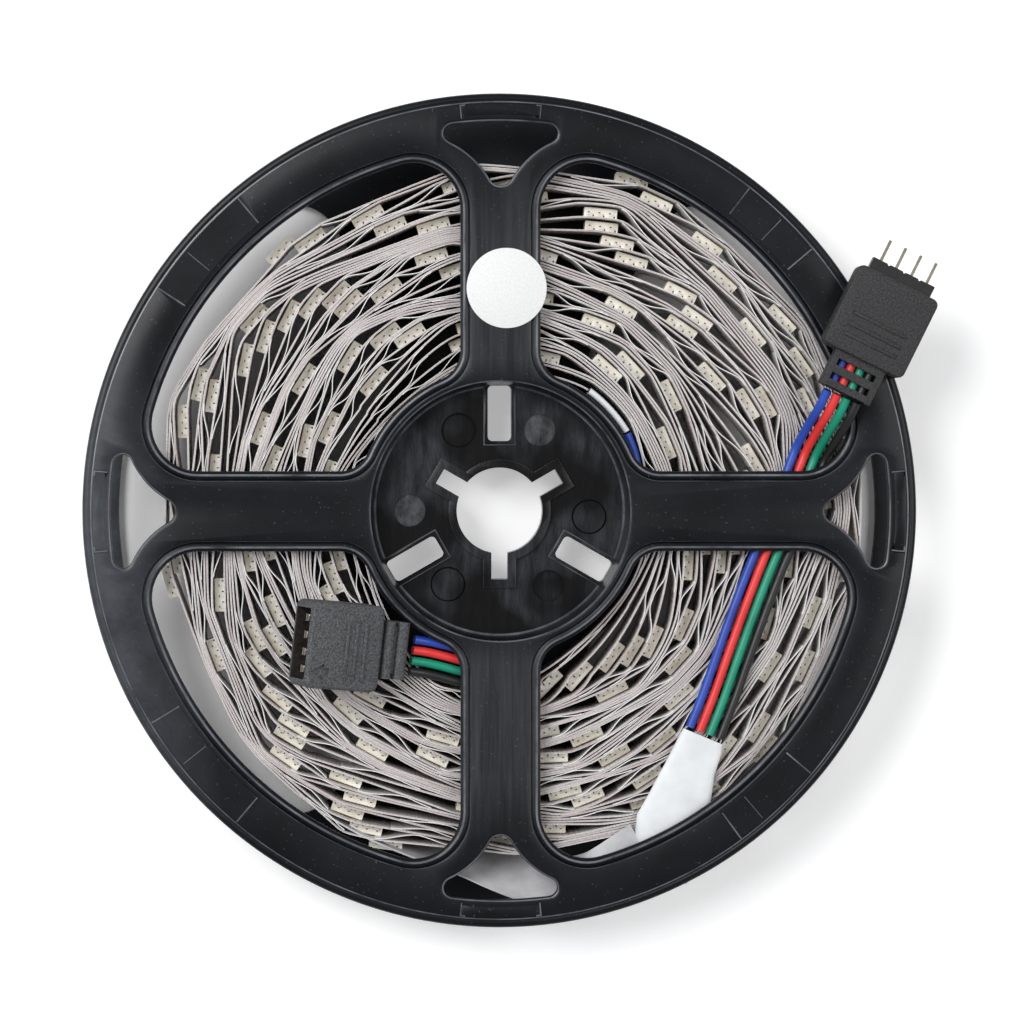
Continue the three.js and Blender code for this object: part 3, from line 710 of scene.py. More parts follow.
def rim_pads():
    """Low pads round the rim, one at each diagonal place and a short one at each spoke, with ribs."""
    pads = [rim_pad(56.0, 60.9, start, end, 12, 0.05, 0.12) for start, end in PAD_ENDS]
    pads += [rim_pad(59.3, 61.0, angle - 5.7, angle + 5.7, 8, 0.04, 0.09) for angle in QUARTERS]
    for angle in PAD_MIDDLES:
        pads.append(block("rib", (56.4, 60.6), (-0.06, 0.06), (FACE, FACE + 0.17), angle))
    for angle in [angle for ends in PAD_ENDS for angle in ends]:
        pads.append(block("rib", (56.2, 61.0), (-0.11, 0.11), (FACE - 0.1, FACE + 0.2), angle))
    for angle in QUARTERS:
        for side in (-1, 1):
            pads.append(block("rib", (59.0, 61.0), (-0.1, 0.1), (FACE - 0.1, FACE + 0.2), angle + side * 5.7))
            pads.append(block("rib", (60.8, 61.02), (-0.4, 0.4), (FACE - 0.1, FACE + 0.19), angle + side * 5.4))
    return pads


def ink_faces(body, hub, edge, scuffed, level, sign):
    """Gives the hub's recess and the scuffed pegs their own finishes, and paints the raised edges lighter as a
    highlight.

    The level is that of the parting face, and the sign is the way that the half faces."""
    for material in (hub, edge, scuffed):
        body.data.materials.append(material)
    marks = [peg_centre(angle) for angle in SCUFFED_PEGS]
    hub_index, highlight_index, scuffed_index = 1, 2, 3
    for face in body.data.polygons:
        x, y, z = face.center / MM
        rise = (z - level) * sign - FACE
        tilt = abs(face.normal.z)
        if math.hypot(x, y) < RECESS:
            face.material_index = hub_index
            # Sloping faces of the slot frames and the bore's lip get the lighter edge finish, a painted
            # highlight.
            if 0.12 < tilt < 0.93 and rise > WEB - FACE - 0.1:
                face.material_index = highlight_index
            if tilt > 0.95 and min(math.hypot(x - mx, y - my) for mx, my in marks) < 2.2:
                face.material_index = scuffed_index
            continue
        # The ribs, the rim's shoulder and the beads' crests get the lighter edge finish, a painted highlight.
        rib = rise > 0.16
        shoulder = -0.2 < rise < -0.005 and tilt < 0.9
        bead = -0.285 < rise < -0.25 and tilt > 0.9
        if rib or shoulder or bead:
            face.material_index = highlight_index


def make_spool(plastic, hub, edge, scuffed):
    upper = spool_half("spool_upper", UPPER_PEGS, LOWER_PEGS)
    upper = cut(upper, *[window_cutter(quarter_window, a) for a in QUARTERS], *[end_cutter(a) for a in QUARTERS])
    upper = join_on(upper, *rim_pads())
    upper.data.transform(Matrix.Translation((0, 0, PARTING * MM)))
    finish_piece(upper, plastic, ["spool_upper_half"], 30)
    ink_faces(upper, hub, edge, scuffed, PARTING, 1)
    lower = spool_half("spool_lower", LOWER_PEGS, UPPER_PEGS)
    lower = cut(lower, *[plain_cutter(lower_window(), a) for a in (0, 180)])
    lower.data.transform(Matrix.Translation((0, 0, PARTING * MM)) @ Matrix.Scale(-1, 4, (0, 0, 1)))
    lower.data.flip_normals()
    finish_piece(lower, plastic, ["spool_lower_half"], 30)
    ink_faces(lower, hub, edge, scuffed, PARTING, -1)


# Winding

SLOTS = 360
BAND = 0.24
SLACK = 0.03
# Extra room per turn by angle, in degrees and millimetres
LOOSE = [(0, 0.103), (60, 0.076), (120, 0.007), (180, -0.004), (240, -0.005), (300, 0.01), (360, 0.103)]
LED_PITCH = 55.56
LED_HEIGHT = 1.5
STRIP_LENGTH = 8400
LED_DRIFT = 14
START = 54
LEAVES = 234


def first_bed(angle):
    """Radius that the first turns lie on: the drum, the inner lead and its sleeve."""
    marks = [(0, 22.35), (18, 22.35), (36, 23.7), (54, 23.7), (72, 21.2), (90, 20.7), (216, 20.7),
             (252, 27.8), (270, 27.4), (288, 22.9), (306, 22.35), (360, 22.35)]
    return np.interp(np.mod(angle, 360), *zip(*marks))


def smooth_noise(count, spacing, seed):
    """Noise between 0 and 1 that changes over about spacing stations."""
    knots = np.random.RandomState(seed).rand(count // spacing + 4)
    x = np.arange(count) / spacing
    k = x.astype(int)
    t = x - k
    t = t * t * (3 - 2 * t)
    return knots[k] * (1 - t) + knots[k + 1] * t


def widen(values, reach, step, bend, sign):
    """Largest or least of the values nearby, less the fall of a curve of radius bend."""
    best = values.copy()
    for d in range(1, reach + 1):
        drop = (d * step) ** 2 / (2 * bend)
        if sign > 0:
            best[d:] = np.maximum(best[d:], values[:-d] - drop)
            best[:-d] = np.maximum(best[:-d], values[d:] - drop)
        else:
            best[d:] = np.minimum(best[d:], values[:-d] + drop)
            best[:-d] = np.minimum(best[:-d], values[d:] + drop)
    return best


def wind():
    """Radius of the strip's middle at each station, what lies under it, and the LEDs' stations."""
    most = SLOTS * 52
    crest, taut, reach = 5.0, 45.0, 40
    under = np.zeros(most + 2 * SLOTS)
    under[:SLOTS] = first_bed(START + np.arange(SLOTS))
    under[:20] = np.linspace(22.3, 21.2, 20)
    radius = np.zeros(most)
    bump = np.zeros(most + 40)
    slack = 0.04 * smooth_noise(most, 9, 869) ** 3 + 0.2 * smooth_noise(most, 23, 812) ** 7
    leds = []
    travelled, next_led = 0.0, 14.0
    block_size, margin = 90, 104
    for begin in range(0, most, block_size):
        end = begin + block_size
        low = max(0, begin - margin)
        bed = under[low:end + margin]
        step = bed.mean() * 2 * math.pi / SLOTS
        soft = widen(bed, 12, step, crest, 1)
        held = widen(widen(soft, reach, step, taut, 1), reach, step, taut, -1)
        angle = np.mod(START + np.arange(begin, end), 360)
        loose = np.interp(angle, *zip(*LOOSE))
        tight = np.interp(angle, [0, 200, 240, 300, 330, 360], [1, 1, 0.3, 0.3, 1, 1])
        r = held[begin - low:end - low] + SLACK + slack[begin:end] * tight + loose + BAND / 2
        radius[begin:end] = r
        for k in range(begin, end):
            if k == 0:
                continue
            last = radius[k - 1]
            travelled += math.hypot(radius[k] - last, (radius[k] + last) / 2 * 2 * math.pi / SLOTS)
            if travelled < next_led:
                continue
            hollow = under[k] < under[max(0, k - 50):k + 50].mean() - 0.2
            if hollow or travelled > next_led + LED_DRIFT:
                leds.append(k)
                half = max(2, round(2.5 / (radius[k] * 2 * math.pi / SLOTS)))
                bump[max(0, k - half):k + half + 1] = LED_HEIGHT + 0.08
                next_led += LED_PITCH
        first = max(0, begin - 12)
        under[first + SLOTS:end + SLOTS] = radius[first:end] + BAND / 2 + bump[first:end]
        if travelled > STRIP_LENGTH:
            stop = [k for k in range(begin, end) if (START + k) % 360 == LEAVES]
            if stop:
                last = stop[0]
                return radius[:last + 1], under[:last + 1], [k for k in leds if k < last - 8]
    raise ValueError("the strip is longer than the winding has room for")


# The strip's free end: angle, radius, height and twist
TAIL = [(246, 52.9, STRIP_MIDDLE, 2), (256, 53.2, 7.0, 7), (264, 53.8, 7.3, 16), (271, 55.0, 8.2, 34),
        (277, 56.7, 9.3, 45), (283, 58.2, 10.9, 56), (287.5, 57.6, 12.3, 74), (291.4, 56.3, 12.95, 90),
        (293.4, 56.0, 12.95, 90)]


def band_mesh(name, angles, radii, heights, twists, thick, width, lengths):
    """A flat band through stations, with a map of its length and its thickness."""
    a, t = np.radians(angles), np.radians(twists)
    centre = np.stack([radii * np.cos(a), radii * np.sin(a), heights], 1)
    along = np.gradient(centre, axis=0)
    along[:, 2] = 0
    along /= np.linalg.norm(along, axis=1)[:, None]
    away = np.stack([along[:, 1], -along[:, 0], np.zeros(len(a))], 1)
    up = np.array([0, 0, 1.0])
    across = up * np.cos(t)[:, None] + away * np.sin(t)[:, None]
    outward = away * np.cos(t)[:, None] - up * np.sin(t)[:, None]
    corners = [centre + across * (s * width / 2) + outward * (f * thick / 2)
               for s, f in ((-1, -1), (1, -1), (1, 1), (-1, 1))]
    points = np.stack(corners, 1).reshape(-1, 3) * MM
    count = len(a)
    i = np.arange(count - 1)[:, None] * 4
    k = np.arange(4)[None, :]
    n = (k + 1) % 4
    quads = np.stack([i + k, i + n, i + 4 + n, i + 4 + k], 2).reshape(-1, 4)
    end = 4 * (count - 1)
    faces = quads.tolist() + [[0, 3, 2, 1], [end, end + 1, end + 2, end + 3]]
    mesh = bpy.data.meshes.new(name)
    mesh.from_pydata(points.tolist(), [], faces)
    layer = mesh.uv_layers.new(name="length_and_thickness")
    loops = np.zeros(len(mesh.loops), np.int32)
    mesh.loops.foreach_get("vertex_index", loops)
    u = np.asarray(lengths)[loops // 4] * MM
    v = (loops % 4 >= 2).astype(float)
    layer.data.foreach_set("uv", np.stack([u, v], 1).ravel())
    body = bpy.data.objects.new(name, mesh)
    scene.collection.objects.link(body)
    return body


def travelled_lengths(angles, radii):
    """Length along the strip at each station."""
    a = np.radians(angles)
    x, y = radii * np.cos(a), radii * np.sin(a)
    return np.concatenate([[0], np.cumsum(np.hypot(np.diff(x), np.diff(y)))])


def make_strip(edges, back):
    """The wound strip, its free end led on from the last six stations of the winding."""
    radius, under, leds = wind()
    angles = START + np.arange(len(radius)).astype(float)
    heights = STRIP_MIDDLE + 0.3 * (smooth_noise(len(radius), 70, 5) - 0.5)
    turns = angles[-1] - LEAVES
    tail_angles = np.array([turns + t[0] for t in TAIL])
    fine = np.arange(angles[-1] + 4, tail_angles[-1], 0.8)
    known = np.concatenate([angles[-6:], tail_angles])
    tail = [np.interp(fine, known, np.concatenate([start, [t[i] for t in TAIL]]))
            for i, start in ((1, radius[-6:]), (2, heights[-6:]), (3, np.zeros(6)))]
    kernel = np.ones(7) / 7
    tail = [np.convolve(np.pad(row, 3, mode="edge"), kernel, mode="valid") for row in tail]
    all_angles = np.concatenate([angles, fine])
    all_radii = np.concatenate([radius, tail[0]])
    all_heights = np.concatenate([heights, tail[1]])
    twists = np.concatenate([np.zeros(len(radius)), tail[2]])
    lengths = travelled_lengths(all_angles, all_radii)
    strip = band_mesh("strip_wound", all_angles, all_radii, all_heights, twists, BAND + 0.02, 10, lengths)
    finish_piece(strip, edges, ["led_strip"], 30)
    strip.data.materials.append(back)
    for face in strip.data.polygons[4 * len(radius):]:
        face.material_index = 1
    return radius, under, leds, angles, heights


def make_liners(radius, under, angles, material):
    """Places where the liner has come off the strip's inner side and bulges into a hollow."""
    room = radius - BAND / 2 - under
    chance = np.random.RandomState(11)
    parts = []
    k = 400
    while k < len(radius) - 60:
        if room[k] < 0.45:
            k += 1
            continue
        stop = k
        while stop < len(radius) - 60 and room[stop] > 0.3:
            stop += 1
        step = radius[k] * 2 * math.pi / SLOTS
        span = (stop - k) * step
        if span > 4.5 and room[k:stop].max() > 0.8 and chance.rand() < 0.8:
            length = min(span * 0.95, 7 + 5 * chance.rand())
            count = int(length / step)
            first = k + int((stop - k - count) * chance.rand())
            lead = int(2.2 / step)
            whole = np.arange(first - lead, first + count + lead)
            s = (whole - first) / count
            wave = np.where((s > 0) & (s < 1), np.sin(np.pi * np.clip(s, 0, 1)) ** 1.6, 0)
            lean = 0.25 * (chance.rand() - 0.5)
            wave = np.interp(s + lean * np.sin(np.pi * np.clip(s, 0, 1)), s, wave)
            deep = np.minimum((0.7 + 0.5 * chance.rand()) * room[k:stop].max() * wave,
                              np.maximum(room[whole] - 0.12, 0))
            deep = np.convolve(np.pad(deep, 2, mode="edge"), np.ones(5) / 5, mode="valid")
            r = radius[whole] - BAND / 2 - 0.02 - deep
            lengths = travelled_lengths(angles[whole], r)
            parts.append(band_mesh("liner", angles[whole], r, np.full(len(whole), STRIP_MIDDLE + 0.05),
                                   np.zeros(len(whole)), 0.11, 10, lengths))
        k = stop + 1
    liners = group_up("liner_bulges", parts)
    return finish_piece(liners, material, (), 30)


def led_model(cream, lens, metal, dark):
    """One package: length along x, height along y from the strip, and width along z."""
    body = block("package", (-2.5, 2.5), (0, LED_HEIGHT), (-2.5, 2.5))
    round_edges(body, 0.12, lambda a, b: a.y > 1.4 and b.y > 1.4, 1)
    take(body)
    for material in (cream, lens, metal, dark):
        body.data.materials.append(material)
    rest()
    bpy.ops.mesh.primitive_circle_add(
        vertices=14, radius=2.0 * MM, fill_type="NGON",
        rotation=(-math.pi / 2, 0, 0), location=(0, (LED_HEIGHT + 0.015) * MM, 0))
    window = settle(named("lens"))
    for material in (cream, lens):
        window.data.materials.append(material)
    window.data.polygons[0].material_index = 1
    parts = [body, window]
    for x in (-1.6, 0, 1.6):
        for side in (-1, 1):
            pin = block("pad", (x - 0.4, x + 0.4), (0.02, 0.7), sorted((side * 2.45, side * 2.75)))
            pin.data.materials.append(metal)
            parts.append(pin)
            if side < 0:
                continue
            # Dark notches on one side, painted shade in small hollows.
            for left, right, tall in ((0.42, 0.62, (0.1, 0.42)), (-0.34, -0.04, (0.72, 0.88))):
                notch = block("notch", (x + left, x + right), tall, (2.4, 2.54))
                notch.data.materials.append(dark)
                parts.append(notch)
    return group_up("package_one", parts)


def make_leds(radius, angles, heights, leds, finishes):
    """A package at each LED's station, leaning with the strip there."""
    model = led_model(*finishes)
    chance = np.random.RandomState(21)
    parts = []
    for k in leds:
        step = radius[k] * 2 * math.pi / SLOTS
        half = max(2, round(2.3 / step))
        ends = []
        for i in (k - half, k + half):
            a = math.radians(angles[i])
            ends.append(Vector((radius[i] * math.cos(a), radius[i] * math.sin(a), 0)))
        along = (ends[1] - ends[0]).normalized()
        outward = Vector((along.y, -along.x, 0))
        middle = (ends[0] + ends[1]) / 2
        lift = max(0.0, radius[k] - middle.length)
        height = Vector((0, 0, heights[k] + 0.5 * chance.rand() - 0.1))
        place = middle + outward * (BAND / 2 + lift * 0.5) + height
        turn = Matrix((-along, outward, Vector((0, 0, 1)))).transposed().to_4x4()
        copy = model.copy()
        copy.data = model.data.copy()
        scene.collection.objects.link(copy)
        copy.data.transform(Matrix.Translation(place * MM) @ turn)
        parts.append(copy)
    bpy.data.objects.remove(model)
    packages = group_up("led_packages", parts)
    return finish_piece(packages, None, (), 30)


# Leads

def on_drum(angle, radius, z, twist):
    a = math.radians(angle)
    return (radius * math.cos(a), radius * math.sin(a), z, twist)


# Middle line of each lead: x, y, z and the twist of its row of wires, 0 upright and 90 flat
OUTER_LEAD = [(50.9, 17.2, 18.6, 90), (49.9, 14.9, 17.8, 90), (48.2, 11.6, 15.2, 90), (46.8, 8.6, 13.0, 90),
              (45.8, 6.0, WIRE_LEVEL, 90), (44.3, 1.6, WIRE_LEVEL, 90), (42.3, -3.2, WIRE_LEVEL, 90),
              (39.9, -9.0, WIRE_LEVEL, 90), (37.6, -15.0, WIRE_LEVEL, 90), (35.3, -21.4, WIRE_LEVEL, 90),
              (33.0, -28.0, WIRE_LEVEL, 90), (30.85, -33.5, WIRE_LEVEL, 90)]
INNER_LEAD = ([on_drum(31.2, 22.4, 9.2, 0), on_drum(22, 22.0, 9.2, 0), on_drum(10, 21.4, 9.2, 0)]
              + [on_drum(angle, 21.2, 9.2, 0) for angle in (-6, -24, -42, -60)]
              + [on_drum(-74, 21.4, 9.2, 0), on_drum(-81, 22.0, 9.6, 15), on_drum(-85, 22.7, 10.4, 32),
                 on_drum(-89, 23.3, 11.3, 50), on_drum(-93, 23.8, 12.05, 68), on_drum(-97, 24.1, 12.6, 83),
                 (-5.6, -23.4, WIRE_LEVEL, 90), (-8.6, -22.6, WIRE_LEVEL, 90), (-11.2, -22.0, 13.05, 90),
                 (-13.3, -21.66, 13.75, 90)])


def wire_points(route, row):
    """Points that one wire of a lead's row passes, in millimetres."""
    centres = [Vector(p[:3]) for p in route]
    up = Vector((0, 0, 1))
    points = []
    for i, centre in enumerate(centres):
        before, after = centres[max(0, i - 1)], centres[min(len(centres) - 1, i + 1)]
        left = up.cross((after - before).normalized()).normalized()
        lean = math.radians(route[i][3])
        away = left * math.sin(lean) - up * math.cos(lean)
        points.append(centre + away * (row - 1.5) * WIRE_PITCH)
    return points


def along_curve(points, per_span=5):
    """A centripetal spline through the points."""
    ahead = [points[0] * 2 - points[1], *points, points[-1] * 2 - points[-2]]
    made = []
    for i in range(len(points) - 1):
        p = ahead[i:i + 4]
        d = [math.sqrt((p[j + 1] - p[j]).length) for j in range(3)]
        one = ((p[1] - p[0]) / d[0] - (p[2] - p[0]) / (d[0] + d[1]) + (p[2] - p[1]) / d[1]) * d[1]
        two = ((p[2] - p[1]) / d[1] - (p[3] - p[1]) / (d[1] + d[2]) + (p[3] - p[2]) / d[2]) * d[1]
        for k in range(per_span):
            t = k / per_span
            made.append(p[1] + one * t + (p[1] * -3 + p[2] * 3 - one * 2 - two) * t ** 2
                        + (p[1] * 2 - p[2] * 2 + one + two) * t ** 3)
    return made + [points[-1]]


def make_wire(name, points, material, node):
    """A wire as a cord that leaves the reel at its first point."""
    line = [p * MM for p in along_curve(points)]
    curve = bpy.data.curves.new(name, "CURVE")
    curve.dimensions = "3D"
    curve.bevel_depth = WIRE / 2 * MM
    curve.bevel_resolution = 4
    curve.use_fill_caps = True
    spline = curve.splines.new("POLY")
    spline.points.add(len(line) - 1)
    for point, place in zip(spline.points, line):
        point.co = (*place, 1)
    spline.use_smooth = True
    body = bpy.data.objects.new(name, curve)
    scene.collection.objects.link(body)
    body.data.materials.append(material)
    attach(body, "root")
    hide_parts(node)
    return body


def make_leads(jackets, plug_pieces, socket_pieces):
    """The wires of both leads, each starting where it leaves the reel."""
    leads = (("outer", OUTER_LEAD, -1, "plug", plug_pieces), ("inner", INNER_LEAD, 1, "connector", socket_pieces))
    for row, colour in enumerate(COLOURS):
        for side, route, way, far_end, pieces in leads:
            make_wire(f"lead_{side}_{colour}", wire_points(route, row)[::way], jackets[row],
                      f"{side}_wire_{colour}")


# Connectors, each modelled along +X and then put in place

PLUG_PLACE = Matrix.Translation(Vector((56.4, 28.3, TOP + 0.3)) * MM) @ rotation(63.7)
SOCKET_PLACE = Matrix.Translation(Vector((-19.1, -20.4, 16.75)) * MM) @ rotation(173.7) @ rotation(-30, "Y")
PIN_PITCH = 2.54


def upright(a, b):
    return abs(a.x - b.x) + abs(a.y - b.y) < 0.01


def plug_relief(front, middle):
    """Ladder strain relief behind the plug, with the wires showing between its bars."""
    rear = front - 5.6
    low, high = middle - 1.9, middle + 1.9
    rails = [block("rail", (rear, front + 0.5), sorted((s * 3.1, s * 4.1)), (low, high)) for s in (-1, 1)]
    bars = [block("bar", (x0, x1), (-3.3, 3.3), (low, high))
            for x0, x1 in ((rear, rear + 1.18), (rear + 2.18, rear + 3.42), (rear + 4.42, front + 0.5))]
    floor = block("bar", (rear, front + 0.5), (-3.3, 3.3), (low, middle - 0.9))
    body = join_on(rails[0], rails[1], *bars, floor)
    take(body)
    soft = body.modifiers.new("soft", "BEVEL")
    soft.width = 0.22 * MM
    soft.segments = 2
    soft.limit_method = "ANGLE"
    bpy.ops.object.modifier_apply(modifier=soft.name)
    return body


def socket_relief(plastic):
    """Two rounded bars behind the socket, on a narrower core."""
    core = block("core", (-4.2, 0.6), (-3.5, 3.5), (-1.5, 1.3))
    bars = [block("bar", (x0, x1), (-4.3, 4.3), (-2.2, 2.2)) for x0, x1 in ((-4.9, -3.1), (-2.5, -0.75))]
    for bar in bars:
        round_edges(bar, 0.6, lambda a, b: abs(a.y - b.y) > 1, 3)
    for part in (core, *bars):
        part.data.materials.append(plastic)
    return group_up("socket_relief", [core, *bars])


def relief_wires(front, middle, jackets):
    """The stretches of the wires that show inside the plug's strain relief."""
    made = []
    for row, colour in enumerate(COLOURS):
        rest()
        bpy.ops.mesh.primitive_cylinder_add(
            vertices=20, radius=WIRE / 2 * MM, depth=5.4 * MM, rotation=(0, math.pi / 2, 0),
            location=((front - 2.6) * MM, (1.5 - row) * 1.5 * MM, middle * MM))
        wire = settle(named(f"plug_relief_{colour}"))
        wire.data.transform(PLUG_PLACE)
        made.append(finish_piece(wire, jackets[row]))
    return made


def make_plug(plastic, header, metal, jackets):
    """The plug: shell with relief, bank, four pins and the wires in the relief, shell first."""
    front, half = 6.45, 6.6
    body = block("plug_shell", (-front, front), (-half, half), (0, 5.6))
    round_edges(body, 1.0, upright, 4)
    round_edges(body, 0.34, lambda a, b: abs(a.z - b.z) < 0.01, 3)
    ribs = [block("rib", (x - 0.3, x + 0.3), (-4.3, 4.3), (5.3, 5.86)) for x in (-0.55, -2.3, -3.9)]
    for rib in ribs:
        round_edges(rib, 0.15, lambda a, b: a.z > 5.7 and b.z > 5.7, 2)
    body = join_on(body, *ribs)
    body = group_up("plug_shell", [body, plug_relief(-front, 2.8)])
    body.data.transform(PLUG_PLACE)
    finish_piece(body, plastic, ["plug_body"], 40)
    made = [body]
    bank = block("plug_bank", (front - 0.3, front + 1.8), (-5.08, 5.08), (1.53, 4.07))
    bank = cut(bank, *[cylinder("notch", 0.42, 1.0, 5.0, front + 1.95, y, 4) for y in (-PIN_PITCH, 0, PIN_PITCH)])
    round_edges(bank, 0.12, lambda a, b: abs(a.z - b.z) < 0.01 and a.z > 4, 1)
    bank.data.transform(PLUG_PLACE)
    made.append(finish_piece(bank, header, ["plug_header"], 40))
    for i in range(4):
        y = (i - 1.5) * PIN_PITCH
        pin = block(f"plug_prong_{i + 1}", (front + 1.2, front + 5.2), (y - 0.22, y + 0.22), (2.58, 3.02))
        round_edges(pin, 0.1, lambda a, b: a.x > 11 and b.x > 11, 2)
        pin.data.transform(PLUG_PLACE)
        made.append(finish_piece(pin, metal, [f"plug_pin_{i + 1}"], 40))
    return made + relief_wires(-front, 2.8, jackets)


def make_socket(plastic, metal, dark):
    """The socket: shell with painted shade in its mouth, ribs, a sunk arrow and relief, and four contacts, shell
    first.
    """
    body = block("socket_shell", (0, 12.4), (-6.45, 6.45), (-2.8, 2.8))
    round_edges(body, 1.2, upright, 5)
    round_edges(body, 0.5, lambda a, b: abs(a.z - b.z) < 0.01, 3)
    mouth = block("mouth", (6.4, 14), (-5.3, 5.3), (-2.1, 2.1))
    round_edges(mouth, 0.3, lambda a, b: abs(a.y - b.y) + abs(a.z - b.z) < 0.01, 2)
    body = cut(body, mouth)
    ribs = [block("rib", (x - 0.28, x + 0.28), (-3.8, 5.0), (2.5, 3.12)) for x in (3.1, 4.65, 6.15)]
    for rib in ribs:
        round_edges(rib, 0.15, lambda a, b: a.z > 2.9 and b.z > 2.9, 2)
    shaft = block("shaft", (8.7, 10.0), (3.3, 4.5), (2.4, 3.2))
    rest()
    bpy.ops.mesh.primitive_cylinder_add(
        vertices=3, radius=1.5 * MM, depth=0.8 * MM,
        rotation=(0, 0, -math.pi / 2), location=(10.3 * MM, 3.9 * MM, 2.8 * MM))
    head = settle(named("head"))
    body = cut(join_on(body, *ribs), join_on(shaft, head))
    take(body)
    body.data.materials.append(plastic)
    body.data.materials.append(dark)
    # The faces inside the mouth get the painted shade.
    for face in body.data.polygons:
        x, y, z = face.center / MM
        if 6.3 < x < 12.3 and abs(y) < 5.35 and abs(z) < 2.15:
            face.material_index = 1
    body = group_up("socket_shell", [body, socket_relief(plastic)])
    body.data.transform(SOCKET_PLACE)
    finish_piece(body, None, ["socket_body"], 40)
    made = [body]
    for i in range(4):
        y = (i - 1.5) * PIN_PITCH
        leaf = block(f"socket_leaf_{i + 1}", (6.5, 11.6), (y - 0.55, y + 0.55), (-0.62, -0.3))
        tip = block("tip", (9.3, 11.6), (y - 0.55, y + 0.55), (-0.4, 0.28))
        round_edges(tip, 0.3, lambda a, b: abs(a.z - b.z) < 0.01, 3)
        leaf = join_on(leaf, tip)
        leaf.data.transform(SOCKET_PLACE)
        made.append(finish_piece(leaf, metal, [f"socket_contact_{i + 1}"], 40))
    return made


# Sleeves and label

def flat_tube(name, route, thick, steps=20):
    """A flattened sleeve through stations of centre, half-width direction and height."""
    loops = []
    for (x, y, z), (wx, wy), tall in route:
        loop = []
        for k in range(steps):
            t = 2 * math.pi * k / steps
            c, s = math.cos(t), math.sin(t)
            wide = math.copysign(abs(c) ** 0.7, c)
            high = math.copysign(abs(s) ** 0.8, s)
            loop.append((x + wx * wide, y + wy * wide, z + thick * tall / 2 * high))
        loops.append(loop)
    return lofted(name, loops)


def make_outer_sleeve(material):
    z = STRIP_TOP + 0.3 + 0.7
    route = [((30.6, -34.0, z), (3.0, -1.25), 1.0), ((30.2, -35.2, z), (3.25, -1.3), 1.0),
             ((28.6, -38.9, z), (3.75, -0.9), 0.9), ((27.0, -43.4, z), (4.75, -0.5), 0.8),
             ((25.9, -47.2, z), (5.3, -1.4), 0.8), ((25.2, -51.0, z), (4.9, -2.2), 0.8),
             ((24.9, -54.6, z), (3.2, -1.8), 0.8)]
    body = flat_tube("sleeve_outer", route, 1.4)
    return finish_piece(body, material, ["outer_end_sleeve"], 60)


def make_inner_sleeve(material):
    loops = []
    for angle in np.linspace(32, 53.2, 16):
        c, s = math.cos(math.radians(angle)), math.sin(math.radians(angle))
        loop = []
        for k in range(20):
            t = 2 * math.pi * k / 20
            wide = math.copysign(abs(math.cos(t)) ** 0.5, math.cos(t)) * 0.575
            high = math.copysign(abs(math.sin(t)) ** 0.3, math.sin(t)) * 5.25
            r = 22.525 + wide
            loop.append((r * c, r * s, 7.15 + high))
        loops.append(loop)
    body = lofted("sleeve_inner", loops)
    return finish_piece(body, material, ["inner_end_sleeve"], 50)


def make_label(material):
    body = cylinder("label_disc", 6.0, TOP, TOP + 0.2, 0.9, 33.4, 96)
    round_edges(body, 0.06, lambda a, b: a.z > TOP + 0.15 and b.z > TOP + 0.15, 2)
    return finish_piece(body, material, ["round_label"], 40)


# Floor and light

def make_floor():
    """Pale floor that looks white round the reel and keeps its shadow; inside the hub it glows more, a painted
    light in the bore.
    """
    rest()
    bpy.ops.mesh.primitive_plane_add(size=6, location=(0, 0, -0.0003))
    floor = named("floor")
    finish = Finish("floor_white", (0.9, 0.9, 0.905, 1), 0.9, specular=0.1)
    light = finish.nodes.new("ShaderNodeLightPath")
    seen = finish.math("MAXIMUM", light.outputs["Is Camera Ray"], light.outputs["Is Glossy Ray"])
    seen = finish.math("MAXIMUM", seen, light.outputs["Is Transmission Ray"])
    x, y, _ = finish.axes()
    far = finish.math("SQRT", finish.math("ADD", finish.times(x, x), finish.times(y, y)))
    inner, outer = 19.5 * MM, 63.0 * MM
    under_winding = finish.times(finish.math("GREATER_THAN", far, inner), finish.math("LESS_THAN", far, outer))
    # Painted light: the floor inside the hub glows for the camera, so that the bore looks bright.
    bore_glow = finish.times(finish.math("LESS_THAN", far, inner), 0.12)
    in_open = finish.times(finish.math("SUBTRACT", 1.0, under_winding), 0.26)
    strength = finish.times(seen, finish.math("ADD", in_open, bore_glow))
    finish.shader.inputs["Emission Color"].default_value = (1, 1, 1, 1)
    finish.links.new(strength, finish.shader.inputs["Emission Strength"])
    floor.data.materials.append(finish.material)


def soft_light(name, place, size, power, aim=(0, 0, 0)):
    data = bpy.data.lights.new(name, "AREA")
    data.shape = "DISK"
    data.size = size
    data.energy = power
    lamp = bpy.data.objects.new(name, data)
    scene.collection.objects.link(lamp)
    lamp.location = place
    lamp.rotation_mode = "QUATERNION"
    lamp.rotation_quaternion = (Vector(aim) - Vector(place)).to_track_quat("-Z", "Y")


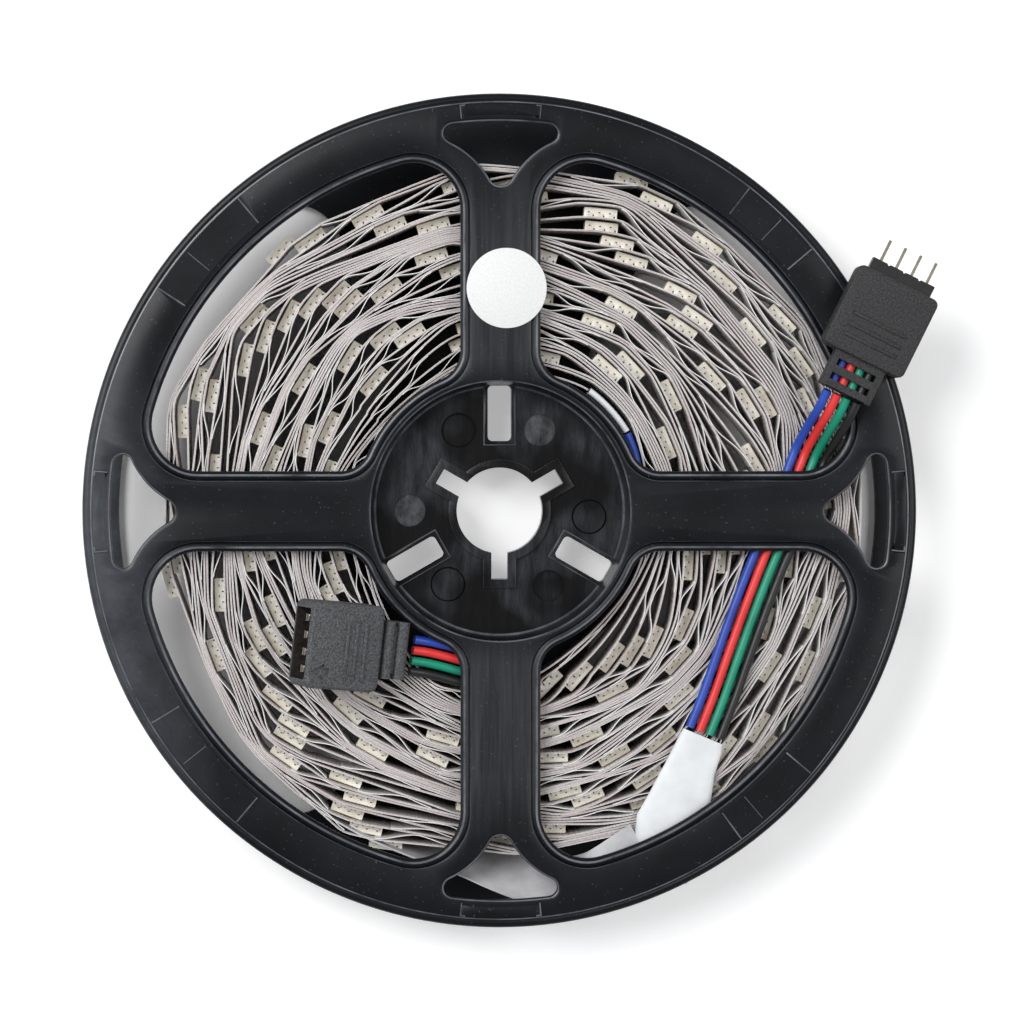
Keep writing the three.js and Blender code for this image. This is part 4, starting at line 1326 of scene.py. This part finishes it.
def make_light():
    """Three soft lamps and a pale sky, which the camera sees as white."""
    world = bpy.data.worlds.new("studio")
    scene.world = world
    world.use_nodes = True
    nodes, links = world.node_tree.nodes, world.node_tree.links
    ground = nodes["Background"]
    ground.inputs["Color"].default_value = (0.97, 0.985, 1, 1)
    ground.inputs["Strength"].default_value = 0.38
    seen = nodes.new("ShaderNodeBackground")
    seen.inputs["Color"].default_value = (1, 1, 1, 1)
    seen.inputs["Strength"].default_value = 1.0
    path = nodes.new("ShaderNodeLightPath")
    mix = nodes.new("ShaderNodeMixShader")
    links.new(path.outputs["Is Camera Ray"], mix.inputs["Fac"])
    links.new(ground.outputs[0], mix.inputs[1])
    links.new(seen.outputs[0], mix.inputs[2])
    links.new(mix.outputs[0], nodes["World Output"].inputs["Surface"])
    soft_light("key", (-0.6, 0.4, 1.1), 0.7, 11.5)
    soft_light("fill", (0.7, 0.1, 1.0), 0.7, 4.2)
    soft_light("edge", (-0.95, 0.5, 0.6), 0.8, 1.2)


def main():
    place_camera()
    jackets = [
        wire_jacket("blue", srgb(26, 58, 154), srgb(40, 84, 190)),
        wire_jacket("red", srgb(214, 38, 38), srgb(236, 62, 58)),
        wire_jacket("green", srgb(0, 128, 98), srgb(10, 152, 120)),
        wire_jacket("black", srgb(20, 20, 21), srgb(32, 32, 34)),
    ]
    metal, dark = pin_metal(), hollow_shade()
    plug = make_plug(connector_plastic("plug_plastic", srgb(12, 12, 13), srgb(66, 66, 68)),
                     header_plastic(), metal, jackets)
    socket = make_socket(connector_plastic("socket_plastic", srgb(36, 36, 38), srgb(106, 107, 110)),
                         metal, dark)
    make_leads(jackets, plug, socket)
    sleeve = sleeve_shrink()
    make_outer_sleeve(sleeve)
    make_inner_sleeve(sleeve)
    make_label(label_paper())
    make_spool(spool_plastic(), hub_plastic(), edge_highlight(), peg_plastic())
    radius, under, leds, angles, heights = make_strip(strip_edges(), strip_back())
    make_liners(radius, under, angles, liner_edge())
    make_leds(radius, angles, heights, leds, (package_body(), package_lens(), tinned(), dark))
    make_floor()
    make_light()
    scene.view_settings.view_transform = "Standard"
    rest()


main()
